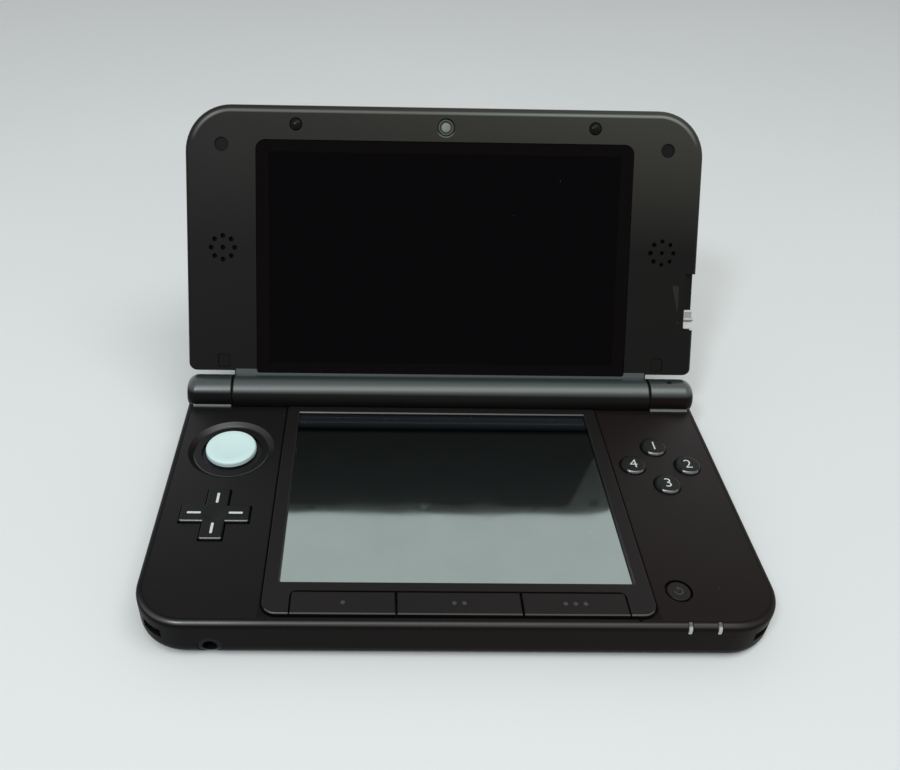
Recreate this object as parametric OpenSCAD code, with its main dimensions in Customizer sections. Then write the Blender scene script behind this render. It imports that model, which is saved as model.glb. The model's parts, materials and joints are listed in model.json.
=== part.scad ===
// Clamshell handheld game console: a lower half with the controls and a touch screen, and a
// lid with the wide screen, joined by a barrel hinge. Millimetres, +Z up, +Y towards the hinge.
// The origin is the middle of the lower half's underside.

/* [Overall] */
// Width across both halves
body_w = 156; // [150:1:162]
// Depth of the lower half, front edge to back edge
body_d = 93; // [92:0.5:94]
// Height of the lower half's face above the table
face_z = 12.2; // [12:0.1:12.4]
// Lid's rise above level as it stands open, 60 being 120 degrees of opening
lid_rise = 60; // [30:1:90]
// Thickness of the lid
lid_t = 8.6; // [8.4:0.1:9]

/* [Corners and edges] */
// Plan radius of the lower half's front corners
corner_r = 13; // [11:0.5:14]
// Plan radius of the lid's top corners
lid_corner_r = 14; // [12:0.5:15]
// Plan radius of the lower half's back corners
back_corner_r = 6; // [5:0.5:7]
// Rounding of the lower half's upper edge
face_edge_r = 1.8; // [1:0.1:2]
// Rounding of the lower half's bottom edge
bottom_edge_r = 3.8; // [3:0.1:4]
// Rounding of the lid's outer edge
lid_edge_r = 3.2; // [2:0.1:3.6]
// Rounding of the lid's inner edge
lid_rim_r = 1.2; // [0.4:0.1:1.6]

/* [Hinge] */
// Height of the hinge axis above the table
hinge_z = 13.3; // [13.2:0.1:13.5]
// Radius of the hinge barrel and knuckles
barrel_r = 5.6; // [5.4:0.1:5.7]
// Width of each end knuckle
knuckle_w = 13.8; // [12:0.1:15]

/* [Screens] */
// Width of the lower screen's opening
touch_w = 86.6; // [84:0.2:87]
// Height of the lower screen's opening
touch_h = 65.3; // [64:0.1:66]
// Width of the lid's screen window
window_w = 114.3; // [112:0.1:116]
// Height of the lid's screen window
window_h = 70.4; // [69:0.1:71]

/* [Controls] */
// Diameter of the round slide pad's cap
pad_d = 14.4; // [13:0.1:15]
// Travel of the slide pad each way
pad_travel = 2.2; // [1:0.1:2.2]
// Span of the cross-shaped direction pad
cross_span = 18.2; // [16:0.1:19]
// Width of the direction pad's arms
cross_arm = 5.9; // [5:0.1:6.4]
// Diameter of the four face buttons
button_d = 7.4; // [6.6:0.1:7.6]
// Distance of each face button from the middle of the four
button_pitch = 7.8; // [7.6:0.1:8.2]
// How far the slide pad and buttons stand above the face
control_rise = 1; // [0.4:0.1:1]

/* [Hidden] */
$fn = 64;
eps = 0.01;
half_w = body_w / 2;
front_y = -body_d / 2;
back_y = body_d / 2;
fit = 0.1;                          // gap between pieces that seat in each other

// Lower half
wall = 1.4;
cover_t = 1.4;                      // bottom cover
face_t = 1.6;                       // thickness of the face plate
ceiling_z = face_z - face_t;        // underside of the face plate
plate_z = cover_t + fit;            // rear case's plate
plate_t = 0.6;
plate_top = plate_z + plate_t;
board_z = 6.9;
board_t = 0.8;
mat_z = board_z + board_t + fit;    // rubber mats lie on the board
mat_t = 0.5;
key_board_z = 7.7;
key_mat_z = 8.5;

// Hinge
hinge_y = back_y - barrel_r - 0.7;
face_n = -0.1;                      // lid's inner face, in the lid's frame
closed_gap = hinge_z - face_n - face_z; // between the two faces when the lid is shut
trough_r = barrel_r + 0.3;
trough_t = 0.9;
knuckle_x = half_w - knuckle_w;     // where each knuckle starts
barrel_x = knuckle_x - 0.25;        // half length of the lid's barrel
deck_z = hinge_z - trough_r;        // top of the back wall under the barrel
lid_w = body_w + 0.4;
knuckle_end = lid_w / 2;
knuckle_end_r = 3.2;                // rounding of its outer end
clutch_r = 3.4;
clutch_end = half_w - 2.4;
shaft_r = 1.6;
bush_r = 3.2;
bush_bore_r = 2.3;
bush_reach = 10.4;                  // into the knuckle and into the barrel

// Screens
panel_rise = 0.6;
panel_top = face_z + panel_rise;
panel_w = 94;
panel_r = 3.6;                      // plan radius of its front corners
panel_front = front_y + 2.9;
panel_back = hinge_y - trough_r - 0.1;
panel_step = 1.05;                  // its back edge lies on the case this far
groove_w = 0.35;                    // groove round it, wider at the front
groove_front = 0.75;
groove_depth = 0.85;
touch_y = -1.35;                    // middle of the lower screen
touch_back = touch_y + touch_h / 2;
glass_top = panel_top - 1;
lower_lcd_w = 90.4;
lower_lcd_front = touch_y - touch_h / 2 - 1.4;
lower_lcd_back = touch_back + 1.1;

// Controls: places on the face
rise = min(control_rise, closed_gap - 0.2);
button_top = face_z + rise;
cross_top = button_top - 0.2;       // its arms rise as it tilts
pad_pos = [-61.7, 14.9];
flange_t = 0.5;                     // rims that keep the buttons in
flange_z = ceiling_z - flange_t - 0.1;
pad_floor_z = face_z - 1;
pad_floor_t = 0.8;
pad_recess_r = 10.6;
pad_hole_r = 6.4 + pad_travel;
pad_skirt_r = pad_hole_r + pad_travel + 0.1; // covers the hole at either end of its travel
cross_pos = [-62.3, -11.4];
cross_pivot_z = 8.9;
cross_edge_r = 0.45;
buttons_pos = [61, 9.2];
button_ways = [[0, 1], [1, 0], [0, -1], [-1, 0]];
power_pos = [53.8, -35.7];
power_d = 5.7;
keys_front = panel_front + 0.1;
keys_back = -37;
keys_x = [-40.2, -15, 15, 40.2];    // edges of the three keys
key_gap = 0.45;
key_side_gap = 0.25;
key_chamfer = 0.25;
key_z = 11;                         // underside of the keys
jack_pos = [-59, 4];                // x and z
jack_r = 1.8;
light_x = [54, 61];
light_w = 0.8;
light_z = 9.7;
light_depth = 1.6;
knuckle_light_x = 70.6;
mic_x = 42.3;
stylus_pos = [-33.2, 4.6];          // y and z
stylus_r = 2.3;
stylus_len = 96;
card_x = -12;
card_w = 33.6;
card_h = 4.2;
card_depth = 33;
door_y = [4, 28];
door_z = [2.6, 7.6];
door_pin = [half_w - 0.9, 28.8];
volume_y = -15;
radio_y = -15.5;
case_screw_spots = [[-71, -28], [71, -26.5], [-70.5, 30.4], [70.5, 31.4]];
cover_screw_spots = [[-54, -24], [54, -24]];
shoulder_pin = [53, 43.2];
shoulder_z = [3, 6];
shoulder_corner_top = 9.7;
shoulder_t = 2;
shoulder_room = 1.7;                // depth it can swing in
shoulder_inner_x = 51.5;
shoulder_front_y = 33.8;
shoulder_inset = 0.5;               // set in from the case's side
spring_x = 62;
spring_post_y = 40.6;

// Lid, in its own frame: hinge axis at the origin, +Y up the lid, inner face at face_n
lid_top = hinge_y + body_d / 2;
lid_foot = 6.9;                     // lower edge of the lid beside the barrel
seam_n = -3.4;                      // where the lid's two shells meet
lid_back_n = face_n - lid_t;
lid_wall = 1.3;
bezel_t = 1.8;
bezel_n = face_n - bezel_t;
window_foot = 6.2;
window_t = 0.9;
camera_v = 80.8;
bumper_pos = [45, 81.1];
bumper_rise = closed_gap - panel_rise - 0.05;
speaker_pos = [67.2, 44.4];
speaker_hole_r = 0.62;
plug_pos = [67.3, 75];
low_plug_pos = [67.3, 10];
lid_screw_spots = [for (side = [-1, 1], p = [plug_pos, low_plug_pos]) [side * p[0], p[1]]];
outer_camera_pos = [17.5, 76.5];
slot_v = [20.9, 38.2];              // notch of the depth slider
slider_v = [21.4, 27.2];
rail_x = [half_w - 3, half_w - 1.45];
knob_x = half_w - 0.6;              // outer face of the slider's knob
rail_n = -1.6;                      // top of the rail, seen at the bottom of the notch

// ---- Shared shapes ----

// Section through a rounded edge: from x = 0 out to the wall at x = reach
module edge_section(reach, low, high, low_r, high_r) {
    difference() {
        translate([0, low]) square([reach, high - low]);
        if (high_r > 0) translate([reach - high_r, high - high_r]) difference() {
            square(high_r + 1);
            circle(high_r);
        }
        if (low_r > 0) translate([reach - low_r, low + low_r]) difference() {
            translate([0, -low_r - 1]) square(low_r + 1);
            circle(low_r);
        }
    }
}

// Slab with rounded plan corners and one edge section swept all round it
module swept_slab(w, y0, y1, front_r, rear_r, low, high, low_r = 0, high_r = 0) {
    band = 0.8 * min(front_r, rear_r);
    x = w / 2;
    linear_extrude_between(low, high) polygon([
        [-x + front_r, y0 + band], [x - front_r, y0 + band], [x - front_r, y0 + front_r],
        [x - band, y0 + front_r], [x - band, y1 - rear_r], [x - rear_r, y1 - rear_r],
        [x - rear_r, y1 - band], [-x + rear_r, y1 - band], [-x + rear_r, y1 - rear_r],
        [-x + band, y1 - rear_r], [-x + band, y0 + front_r], [-x + front_r, y0 + front_r]]);
    // four straight sides
    for (side = [0, 1])
        translate([(1 - 2 * side) * (x - band), (y0 + front_r + y1 - rear_r) / 2, 0])
            rotate([0, 0, 180 * side])
                edge_strip(y1 - y0 - front_r - rear_r, band, low, high, low_r, high_r);
    translate([0, y1 - band, 0]) rotate([0, 0, 90])
        edge_strip(w - 2 * rear_r, band, low, high, low_r, high_r);
    translate([0, y0 + band, 0]) rotate([0, 0, -90])
        edge_strip(w - 2 * front_r, band, low, high, low_r, high_r);
    // four corners
    for (side = [0, 1]) {
        translate([(1 - 2 * side) * (x - rear_r), y1 - rear_r, 0]) rotate([0, 0, 90 * side])
            rotate_extrude(angle = 90) edge_section(rear_r, low, high, low_r, high_r);
        translate([(2 * side - 1) * (x - front_r), y0 + front_r, 0])
            rotate([0, 0, 180 + 90 * side])
                rotate_extrude(angle = 90) edge_section(front_r, low, high, low_r, high_r);
    }
}

module edge_strip(length, reach, low, high, low_r, high_r) {
    rotate([90, 0, 0]) linear_extrude(length, center = true)
        edge_section(reach, low, high, low_r, high_r);
}

module linear_extrude_between(low, high) {
    translate([0, 0, low]) linear_extrude(high - low) children();
}

// Outline with two radii, from y0 at the front to y1 at the back
module plan(w, y0, y1, front_r, rear_r) {
    x = w / 2;
    difference() {
        translate([-x, y0]) square([w, y1 - y0]);
        for (side = [-1, 1]) {
            plan_corner([side * (x - front_r), y0 + front_r], [side, -1], front_r);
            plan_corner([side * (x - rear_r), y1 - rear_r], [side, 1], rear_r);
        }
    }
}

// The sliver outside a rounded corner
module plan_corner(centre, way, r) {
    translate(centre) difference() {
        facing(way) square(r + 1);
        circle(r);
    }
}

module facing(way) {
    mirror([way[0] < 0 ? 1 : 0, 0]) mirror([0, way[1] < 0 ? 1 : 0]) children();
}

// Box given by its two opposite corners
module span_box(a, b) {
    translate(a) cube(b - a);
}

// Cylinder lying along X between two values of x
module rod_x(r, x0, x1) {
    translate([x0, 0, 0]) rotate([0, 90, 0]) cylinder(r = r, h = x1 - x0);
}

// Screw with a flat head and a cross recess, head uppermost, under the head at z = 0
module screw(head_r, head_t, shank_r, shank_len) {
    difference() {
        union() {
            cylinder(r = head_r, h = head_t);
            translate([0, 0, -shank_len]) cylinder(r = shank_r, h = shank_len + eps);
        }
        for (turn = [0, 90]) rotate([0, 0, turn])
            translate([-head_r * 0.6, -head_r * 0.14, head_t * 0.4])
                cube([head_r * 1.2, head_r * 0.28, head_t]);
    }
}

module at_hinge() {
    translate([0, hinge_y, hinge_z]) children();
}

module lid_frame() {
    at_hinge() rotate([lid_rise, 0, 0]) children();
}

// Cross outline with square ends
module cross_outline(span, arm) {
    square([span, arm], center = true);
    square([arm, span], center = true);
}

// ---- Lower half: shells ----

module base_slab(inset, low, high, low_r = 0, high_r = 0) {
    swept_slab(body_w - 2 * inset, front_y + inset, back_y - inset, corner_r - inset,
        back_corner_r - inset, low, high, low_r, high_r);
}

module base_plan(inset) {
    plan(body_w - 2 * inset, front_y + inset, back_y - inset, corner_r - inset,
        back_corner_r - inset);
}

module bottom_cover() {
    color("#1b1b1d") difference() {
        base_slab(0.15, 0, ceiling_z, bottom_edge_r, 0);
        span_box([-half_w, front_y, cover_t], [half_w, back_y, face_z]);
        for (spot = cover_screw_spots) translate([spot[0], spot[1], -1]) {
            cylinder(r = 2, h = 1.8);
            cylinder(r = 1, h = 4);
        }
        for (spot = case_screw_spots) translate([spot[0], spot[1], 0.8])
            cylinder(r = 1.9, h = 1);
        jack_passage();
    }
}

module rear_case() {
    color("#242426") difference() {
        union() {
            linear_extrude_between(plate_z, plate_top) base_plan(wall + fit);
            battery_bay();
            stylus_silo();
            spring_posts();
            for (spot = cover_screw_spots) translate([spot[0], spot[1], plate_z])
                cylinder(r = 2.2, h = 4.4);
        }
        span_box([-47, -28, 0], [19, 11, 6.1]);
        for (spot = cover_screw_spots) translate([spot[0], spot[1], 0])
            cylinder(r = 0.85, h = 5.2);
        for (spot = case_screw_spots) translate([spot[0], spot[1], 0])
            cylinder(r = 1, h = 5);
        translate([-22, stylus_pos[0], stylus_pos[1]]) rod_x(stylus_r + 0.15, 2.4, 120);
        span_box([jack_pos[0] - 3.8, front_y, 0], [jack_pos[0] + 3.8, -30.6, 7]);
        for (side = [-1, 1]) translate([side * shoulder_pin[0], shoulder_pin[1], 0])
            cylinder(r = 0.8, h = 5);
        translate([door_pin[0], door_pin[1], 0]) cylinder(r = 1.4, h = 5);
    }
}

module battery_bay() {
    span_box([-48, -29, plate_z], [20, 12, 6.75]);
}

module stylus_silo() {
    silo_end = half_w - wall - 0.5;
    translate([0, stylus_pos[0], stylus_pos[1]]) rod_x(stylus_r + 0.6, -20.4, silo_end);
    span_box([-20.4, stylus_pos[0] - 1, plate_z],
        [silo_end, stylus_pos[0] + 1, stylus_pos[1]]);
}

module jack_passage() {
    translate([jack_pos[0], front_y - 1, jack_pos[1]]) rotate([-90, 0, 0])
        cylinder(r = 3, h = 4.4);
}

module front_case() {
    color("#1d1d1f") difference() {
        union() {
            difference() {
                base_slab(0, 0, face_z, bottom_edge_r, face_edge_r);
                linear_extrude_between(-1, ceiling_z) base_plan(wall);
                span_box([-half_w, front_y, -1], [half_w, back_y, cover_t]);
            }
            trough_wall();
            for (side = [0, 1]) mirror([side, 0, 0]) knuckle();
            for (spot = case_screw_spots) translate([spot[0], spot[1], plate_top + fit])
                cylinder(r = 2.1, h = ceiling_z - plate_top);
            pad_dish_wall();
        }
        trough();
        face_openings();
        wall_openings();
        knuckle_bores();
        for (spot = case_screw_spots) translate([spot[0], spot[1], 0])
            cylinder(r = 0.8, h = 8.4);
    }
}

// Wall that carries the face plate round the barrel, with the deck behind it
module trough_wall() {
    intersection() {
        at_hinge() rod_x(trough_r + trough_t, -knuckle_x - 1, knuckle_x + 1);
        span_box([-half_w, front_y, 0], [half_w, back_y - wall / 2, face_z - 0.5]);
    }
    span_box([-knuckle_x - 1, hinge_y, deck_z - trough_t], [knuckle_x + 1, back_y - wall / 2, deck_z]);
}

module trough() {
    at_hinge() rod_x(trough_r, -knuckle_x, knuckle_x);
    span_box([-knuckle_x, hinge_y, deck_z], [knuckle_x, back_y + 1, face_z + 1]);
}

// End knuckle at +x, rounded at its outer end, with a fillet down to the face
module knuckle() {
    at_hinge() rotate([0, 90, 0]) rotate_extrude()
        edge_section(barrel_r, knuckle_x, knuckle_end, 0, knuckle_end_r);
    fillet_r = 2;
    fillet_y = hinge_y - barrel_r + 0.6;
    translate([knuckle_x, 0, 0]) rotate([90, 0, 90]) linear_extrude(knuckle_w - face_edge_r - 0.2)
        difference() {
            translate([fillet_y - fillet_r, face_z - 0.5]) square([fillet_r + 1, fillet_r + 0.3]);
            translate([fillet_y - fillet_r, face_z + fillet_r]) circle(fillet_r);
        }
}

module knuckle_bores() {
    at_hinge() {
        rod_x(clutch_r + 0.05, knuckle_x - 1, clutch_end + 0.2);
        rod_x(bush_r + 0.06, -knuckle_x - bush_reach - 0.2, -knuckle_x + 1);
        // way for the ribbon cable, down from the left knuckle into the lower half
        span_box([-knuckle_x - 9, -2, -7], [-knuckle_x - 5, 2, 0]);
    }
    // notification light on top of the right knuckle
    translate([knuckle_light_x, hinge_y, hinge_z + clutch_r]) cylinder(r = 0.8, h = 5);
}

module pad_dish_wall() {
    translate([pad_pos[0], pad_pos[1], pad_floor_z - pad_floor_t])
        cylinder(r = pad_recess_r + 1.8, h = pad_floor_t + 0.4);
}

// Everything cut through the face
module face_openings() {
    linear_extrude_between(ceiling_z - 1, face_z + 1)
        plan(panel_w, panel_front, panel_back - panel_step + 0.05, panel_r, 1);
    linear_extrude_between(face_z - groove_depth, face_z + 1) difference() {
        plan(panel_w + 2 * groove_w, panel_front - groove_front, panel_back + 0.6, panel_r + 0.5, 1);
        translate([-panel_w / 2, 0]) square([panel_w, half_w]);
    }
    translate([pad_pos[0], pad_pos[1], 0]) {
        rotate_extrude() polygon([[0, pad_floor_z], [pad_recess_r, pad_floor_z],
            [pad_recess_r + 0.5, pad_floor_z + 0.35], [pad_recess_r + 1.7, face_z + eps],
            [pad_recess_r + 1.7, face_z + 1], [0, face_z + 1]]);
        cylinder(r = pad_hole_r, h = face_z);
    }
    linear_extrude_between(ceiling_z - 1, face_z + 1) translate(cross_pos)
        cross_outline(cross_span + 0.7, cross_arm + 0.7);
    for (way = button_ways) translate([buttons_pos[0], buttons_pos[1], ceiling_z - 1])
        translate(button_pitch * way) cylinder(d = button_d + 0.3, h = 4);
    translate([power_pos[0], power_pos[1], ceiling_z - 1]) cylinder(d = power_d + 1.1, h = 4);
    translate([mic_x, front_y + 2, ceiling_z - 1]) cylinder(r = 0.5, h = 4);
    light_pipe_slots(0.2);
}

module light_pipe_slots(gap) {
    for (x = light_x)
        span_box([x - light_w / 2 - gap, front_y - 1, light_z - gap],
            [x + light_w / 2 + gap, front_y + light_depth + gap, face_z + 1]);
}

// Everything cut through the side walls
module wall_openings() {
    jack_passage();
    // strap holes at the front corners, each with a bar across it
    for (side = [0, 1]) mirror([side, 0, 0])
        translate([half_w - corner_r, front_y + corner_r, 7]) rotate([0, 0, -52]) strap_hole();
    // game card slot
    span_box([card_x - card_w / 2, 40, plate_top],
        [card_x + card_w / 2, back_y + 1, plate_top + card_h + 0.1]);
    // charging connector and infrared window
    span_box([11, back_y - 3, 2.4], [21, back_y + 1, 6.3]);
    span_box([28, back_y - 3, 2.4], [40, back_y + 1, 6.2]);
    // sliders
    span_box([-half_w - 1, volume_y - 7, 5.6], [-half_w + 3, volume_y + 7, 8.2]);
    span_box([half_w - 3, radio_y - 3.6, 5.6], [half_w + 1, radio_y + 3.6, 8.2]);
    // stylus
    translate([0, stylus_pos[0], stylus_pos[1]]) rod_x(stylus_r + 0.15, half_w - 4, half_w + 1);
    span_box([half_w - wall - 0.3, stylus_pos[0] - 1.3, stylus_pos[1] + 1],
        [half_w + 1, stylus_pos[0] + 1.3, stylus_pos[1] + 3.4]);
    memory_door_cutout();
    shoulder_cutouts(0.2);
}

module strap_hole() {
    translate([corner_r, 0, 0]) difference() {
        span_box([-2.4, -3, -1.4], [1, 3, 1.4]);
        span_box([-1.5, -0.5, -1.5], [-0.8, 0.5, 1.5]);
    }
}

module memory_door_cutout() {
    span_box([half_w - 2.5, door_y[0] - 0.1, door_z[0] - 0.1], [half_w + 1, 29.9, door_z[1] + 0.1]);
    translate([door_pin[0], door_pin[1], 1]) cylinder(r = 0.6, h = door_z[1]);
}

// Ground that the right shoulder button covers: low behind the barrel, higher round the corner
module shoulder_zone(inset, thickness, gap, y0) {
    for (part = [[shoulder_inner_x, shoulder_z[1]], [knuckle_x + 0.5, shoulder_corner_top]])
        linear_extrude_between(shoulder_z[0] - gap, part[1] + gap) intersection() {
            difference() {
                base_plan(inset);
                base_plan(thickness);
            }
            translate([part[0] - gap, y0]) square(body_d);
        }
}

module shoulder_cutouts(gap) {
    for (side = [0, 1]) mirror([side, 0, 0]) {
        shoulder_zone(-gap, shoulder_t + shoulder_room, gap, shoulder_front_y - 1.9);
        translate([shoulder_pin[0], shoulder_pin[1], shoulder_z[0] - gap])
            cylinder(r = 2.2, h = shoulder_z[1] - shoulder_z[0] + 2 * gap);
    }
}

// ---- Lower half: screen ----

module screen_surround() {
    color("#222224") difference() {
        union() {
            linear_extrude_between(ceiling_z, face_z + 0.2)
                plan(panel_w - 0.1, panel_front + 0.05, panel_back - panel_step, panel_r, 1);
            swept_slab(panel_w, panel_front, panel_back, panel_r, 1, face_z + 0.02, panel_top, 0, 0.35);
        }
        linear_extrude_between(0, panel_top + 1)
            plan(touch_w, touch_back - touch_h, touch_back, 0.6, 0.6);
        opening_bevel();
        span_box([-lower_lcd_w / 2 - 0.2, lower_lcd_front - 0.2, 0],
            [lower_lcd_w / 2 + 0.2, lower_lcd_back + 0.2, glass_top + 0.05]);
        linear_extrude_between(0, panel_top + 1)
            plan(keys_x[3] - keys_x[0] + 2 * key_side_gap, keys_front - 3, keys_back + key_side_gap,
                0.3, 1.6);
    }
}

// Slope round the top edge of the screen's opening
module opening_bevel() {
    bevel = 0.42;
    translate([0, touch_y, panel_top]) for (side = [-1, 1]) {
        translate([side * touch_w / 2, 0, 0]) rotate([0, 45, 0])
            cube([bevel, touch_h, bevel], center = true);
        translate([0, side * touch_h / 2, 0]) rotate([45, 0, 0])
            cube([touch_w, bevel, bevel], center = true);
    }
}

module touch_panel() {
    color([0.30, 0.33, 0.33]) span_box([-lower_lcd_w / 2, lower_lcd_front, glass_top - 0.9],
        [lower_lcd_w / 2, lower_lcd_back, glass_top]);
}

module lower_display() {
    color([0.1, 0.1, 0.11]) span_box([-lower_lcd_w / 2, lower_lcd_front, 8.8],
        [lower_lcd_w / 2, lower_lcd_back, glass_top - 0.95]);
}

module lower_display_tray() {
    color("silver") difference() {
        span_box([-lower_lcd_w / 2 - 0.6, lower_lcd_front - 0.6, 8.3],
            [lower_lcd_w / 2 + 0.6, lower_lcd_back + 0.6, 10.5]);
        span_box([-lower_lcd_w / 2 - 0.1, lower_lcd_front - 0.1, 8.7],
            [lower_lcd_w / 2 + 0.1, lower_lcd_back + 0.1, 11]);
    }
}

// ---- Lower half: electronics ----

module main_board() {
    color("#1d5b3a") linear_extrude_between(board_z, board_z + board_t) difference() {
        polygon([[-74, -24], [-48, -24], [-48, -28], [74, -28], [74, 33], [8, 33], [8, 12],
            [-48, 12], [-48, 1], [-74, 1]]);
        for (spot = case_screw_spots) translate(spot) circle(r = 2.5);
    }
}

module battery() {
    color("#3b3d42") span_box([-46, -27, 1.6], [18, 10, 6]);
}

module game_card_socket() {
    color("#3a3a3a") difference() {
        span_box([card_x - card_w / 2 - 0.8, 12.4, plate_top + 0.02],
            [card_x + card_w / 2 + 0.8, back_y - wall - fit, 6.75]);
        span_box([card_x - card_w / 2, back_y - card_depth - 0.3, 0],
            [card_x + card_w / 2, back_y + 1, 6.35]);
        // room for the trough, whose wall closes the slot from above at the back
        span_box([-half_w, 33, 6.4], [half_w, back_y, 8]);
    }
}

module memory_card_socket() {
    color("silver") difference() {
        span_box([50, 3.6, 3.3], [75, 27.6, 6.7]);
        span_box([51, 4, 3.8], [80, 27.2, 6.1]);
    }
}

module memory_card_door() {
    color("#1b1b1d") difference() {
        union() {
            intersection() {
                span_box([half_w - 1.4, door_y[0], door_z[0]], [half_w, door_y[1], door_z[1]]);
                base_slab(0.05, 0, ceiling_z, bottom_edge_r, 0);
            }
            span_box([half_w - 1.4, door_y[1] - 1, door_z[0] + 0.6],
                [half_w - 0.6, door_pin[1], door_z[1] - 0.6]);
            translate([door_pin[0], door_pin[1], door_z[0] + 0.6])
                cylinder(r = 0.85, h = door_z[1] - door_z[0] - 1.2);
        }
        translate([door_pin[0], door_pin[1], 0]) cylinder(r = 0.5, h = 12);
        // fingernail notch
        translate([half_w + 0.6, door_y[0] + 2.4, 5.1]) sphere(r = 1.3);
    }
}

module headphone_jack() {
    x = jack_pos[0];
    color("#111111") difference() {
        union() {
            intersection() {
                translate([x, front_y, jack_pos[1]]) rotate([-90, 0, 0]) cylinder(r = 2.9, h = 3.2);
                base_slab(0.15, 0, ceiling_z, bottom_edge_r, 0);
            }
            span_box([x - 3.4, front_y + wall + 0.4, cover_t + 0.2], [x + 3.4, -31, 6.6]);
        }
        translate([x, front_y - 1, jack_pos[1]]) rotate([-90, 0, 0]) cylinder(r = jack_r, h = 15.2);
    }
}

module charging_connector() {
    color("#161616") difference() {
        span_box([11.1, 38, 2.5], [20.9, back_y - 0.4, 6.2]);
        span_box([12.2, 41, 3.1], [19.8, back_y + 1, 5.6]);
    }
    color("goldenrod") span_box([12.8, 40, 4.1], [19.2, back_y - 1.6, 4.6]);
}

module infrared_window() {
    color([0.16, 0.05, 0.06]) intersection() {
        span_box([28.1, back_y - 2, 2.5], [39.9, back_y, 6.1]);
        base_slab(0.05, 0, ceiling_z, bottom_edge_r, 0);
    }
}

module light_pipes() {
    color([0.8, 0.82, 0.8]) {
        intersection() {
            base_slab(0.02, 0, face_z, bottom_edge_r, face_edge_r);
            light_pipe_slots(0);
        }
        translate([knuckle_light_x, hinge_y, hinge_z + clutch_r + 0.3])
            cylinder(r = 0.75, h = barrel_r - clutch_r - 0.35);
    }
}

module microphone() {
    color("#2c2c2c") translate([mic_x, front_y + 3.4, 9.05]) cylinder(r = 1.8, h = 1.45);
}

// ---- Circle pad ----

module circle_pad_housing() {
    color("#2a2a2a") translate([pad_pos[0], pad_pos[1], 0]) difference() {
        span_box([-11.4, -11.4, 6.2], [11.4, 11.4, 9.6]);
        span_box([-10.4, -10.4, 7], [10.4, 10.4, 11]);
    }
}

module circle_pad_spring() {
    color("silver") translate([pad_pos[0], pad_pos[1], 7.4]) rotate_extrude()
        translate([8.6, 0]) circle(r = 0.35);
}

module circle_pad_carriage() {
    color("#3c3c3c") translate([pad_pos[0], pad_pos[1], 0]) difference() {
        span_box([-10.2, -4.4, 7.9], [10.2, 4.4, 9.5]);
        span_box([-6.4, -2.7, 7], [6.4, 2.7, 11]);
    }
}

module circle_pad_slider() {
    color("#161616") translate([pad_pos[0], pad_pos[1], 0]) {
        span_box([-3.4, -2.55, 7.9], [3.4, 2.55, 9.4]);
        translate([0, 0, 9]) cylinder(r = 2.2, h = 2.95);
        translate([0, 0, 9.7]) cylinder(r = pad_skirt_r, h = 0.55);
    }
}

module circle_pad_cap() {
    low = pad_floor_z + 0.2;
    dish_r = 42;
    color("#d5dfdc") translate([pad_pos[0], pad_pos[1], 0]) difference() {
        rotate_extrude() edge_section(pad_d / 2, low, button_top, 0.3, 0.7);
        // dished top
        translate([0, 0, button_top + dish_r - 0.35]) sphere(r = dish_r, $fn = 96);
        translate([0, 0, low - 1]) cylinder(r = 2.25, h = 1.6);
    }
}

// ---- Direction pad ----

module d_pad() {
    dish_r = 20;
    color("#1a1a1c") translate([cross_pos[0], cross_pos[1], 0]) difference() {
        union() {
            for (turn = [0, 90]) rotate([0, 0, turn])
                swept_slab(cross_span, -cross_arm / 2, cross_arm / 2, 0.6, 0.6, ceiling_z - 0.9,
                    cross_top, 0, cross_edge_r);
            translate([0, 0, 9.5]) cylinder(r = 10, h = 0.5);
        }
        // hollow in the middle
        translate([0, 0, cross_top + dish_r - 0.25]) sphere(r = dish_r);
        translate([0, 0, 9]) cylinder(r = 1.3, h = 0.7);
    }
}

module d_pad_pivot() {
    color("#2e2e2e") translate([cross_pos[0], cross_pos[1], 0]) intersection() {
        translate([0, 0, cross_pivot_z]) sphere(r = 1.2);
        translate([-2, -2, mat_z + mat_t + 0.05]) cube([4, 4, 1.25]);
    }
}

module rubber_dome(low, high) {
    translate([0, 0, low]) difference() {
        cylinder(r1 = 2, r2 = 1.3, h = high - low);
        translate([0, 0, -eps]) cylinder(r1 = 1.6, r2 = 0.7, h = (high - low) * 0.6);
    }
}

module d_pad_mat() {
    color("#8a8f92") translate([cross_pos[0], cross_pos[1], 0]) {
        linear_extrude_between(mat_z, mat_z + mat_t) plan(19, -9.5, 9.5, 2, 2);
        for (turn = [0 : 90 : 270]) rotate([0, 0, turn]) translate([6.4, 0, 0])
            rubber_dome(mat_z + mat_t - eps, 9.48);
    }
}

// ---- Face buttons ----

module face_button(way) {
    color("#1b1c1e") translate([buttons_pos[0], buttons_pos[1], 0]) translate(button_pitch * way)
        difference() {
            union() {
                rotate_extrude() edge_section(button_d / 2, flange_z, button_top, 0, 0.9);
                for (turn = [45, 225]) rotate([0, 0, turn]) translate([-1, 0, flange_z])
                    cube([2, button_d / 2 + 0.7, flange_t]);
            }
            translate([0, 0, flange_z - 1]) cylinder(r = 1.5, h = 1.3);
        }
}

module face_button_up() face_button(button_ways[0]);
module face_button_right() face_button(button_ways[1]);
module face_button_down() face_button(button_ways[2]);
module face_button_left() face_button(button_ways[3]);

module face_button_mat() {
    color("#8a8f92") translate([buttons_pos[0], buttons_pos[1], 0]) {
        linear_extrude_between(mat_z, mat_z + mat_t) plan(25, -12.5, 12.5, 5, 5);
        for (way = button_ways) translate(button_pitch * way)
            rubber_dome(mat_z + mat_t - eps, flange_z + 0.28);
    }
}

module power_button() {
    color("#202022") translate([power_pos[0], power_pos[1], 0]) {
        rotate_extrude() edge_section(power_d / 2, flange_z, face_z - 0.05, 0, 0.3);
        translate([0, 0, flange_z]) cylinder(d = power_d + 2, h = flange_t);
    }
}

// ---- Keys under the lower screen ----

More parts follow.
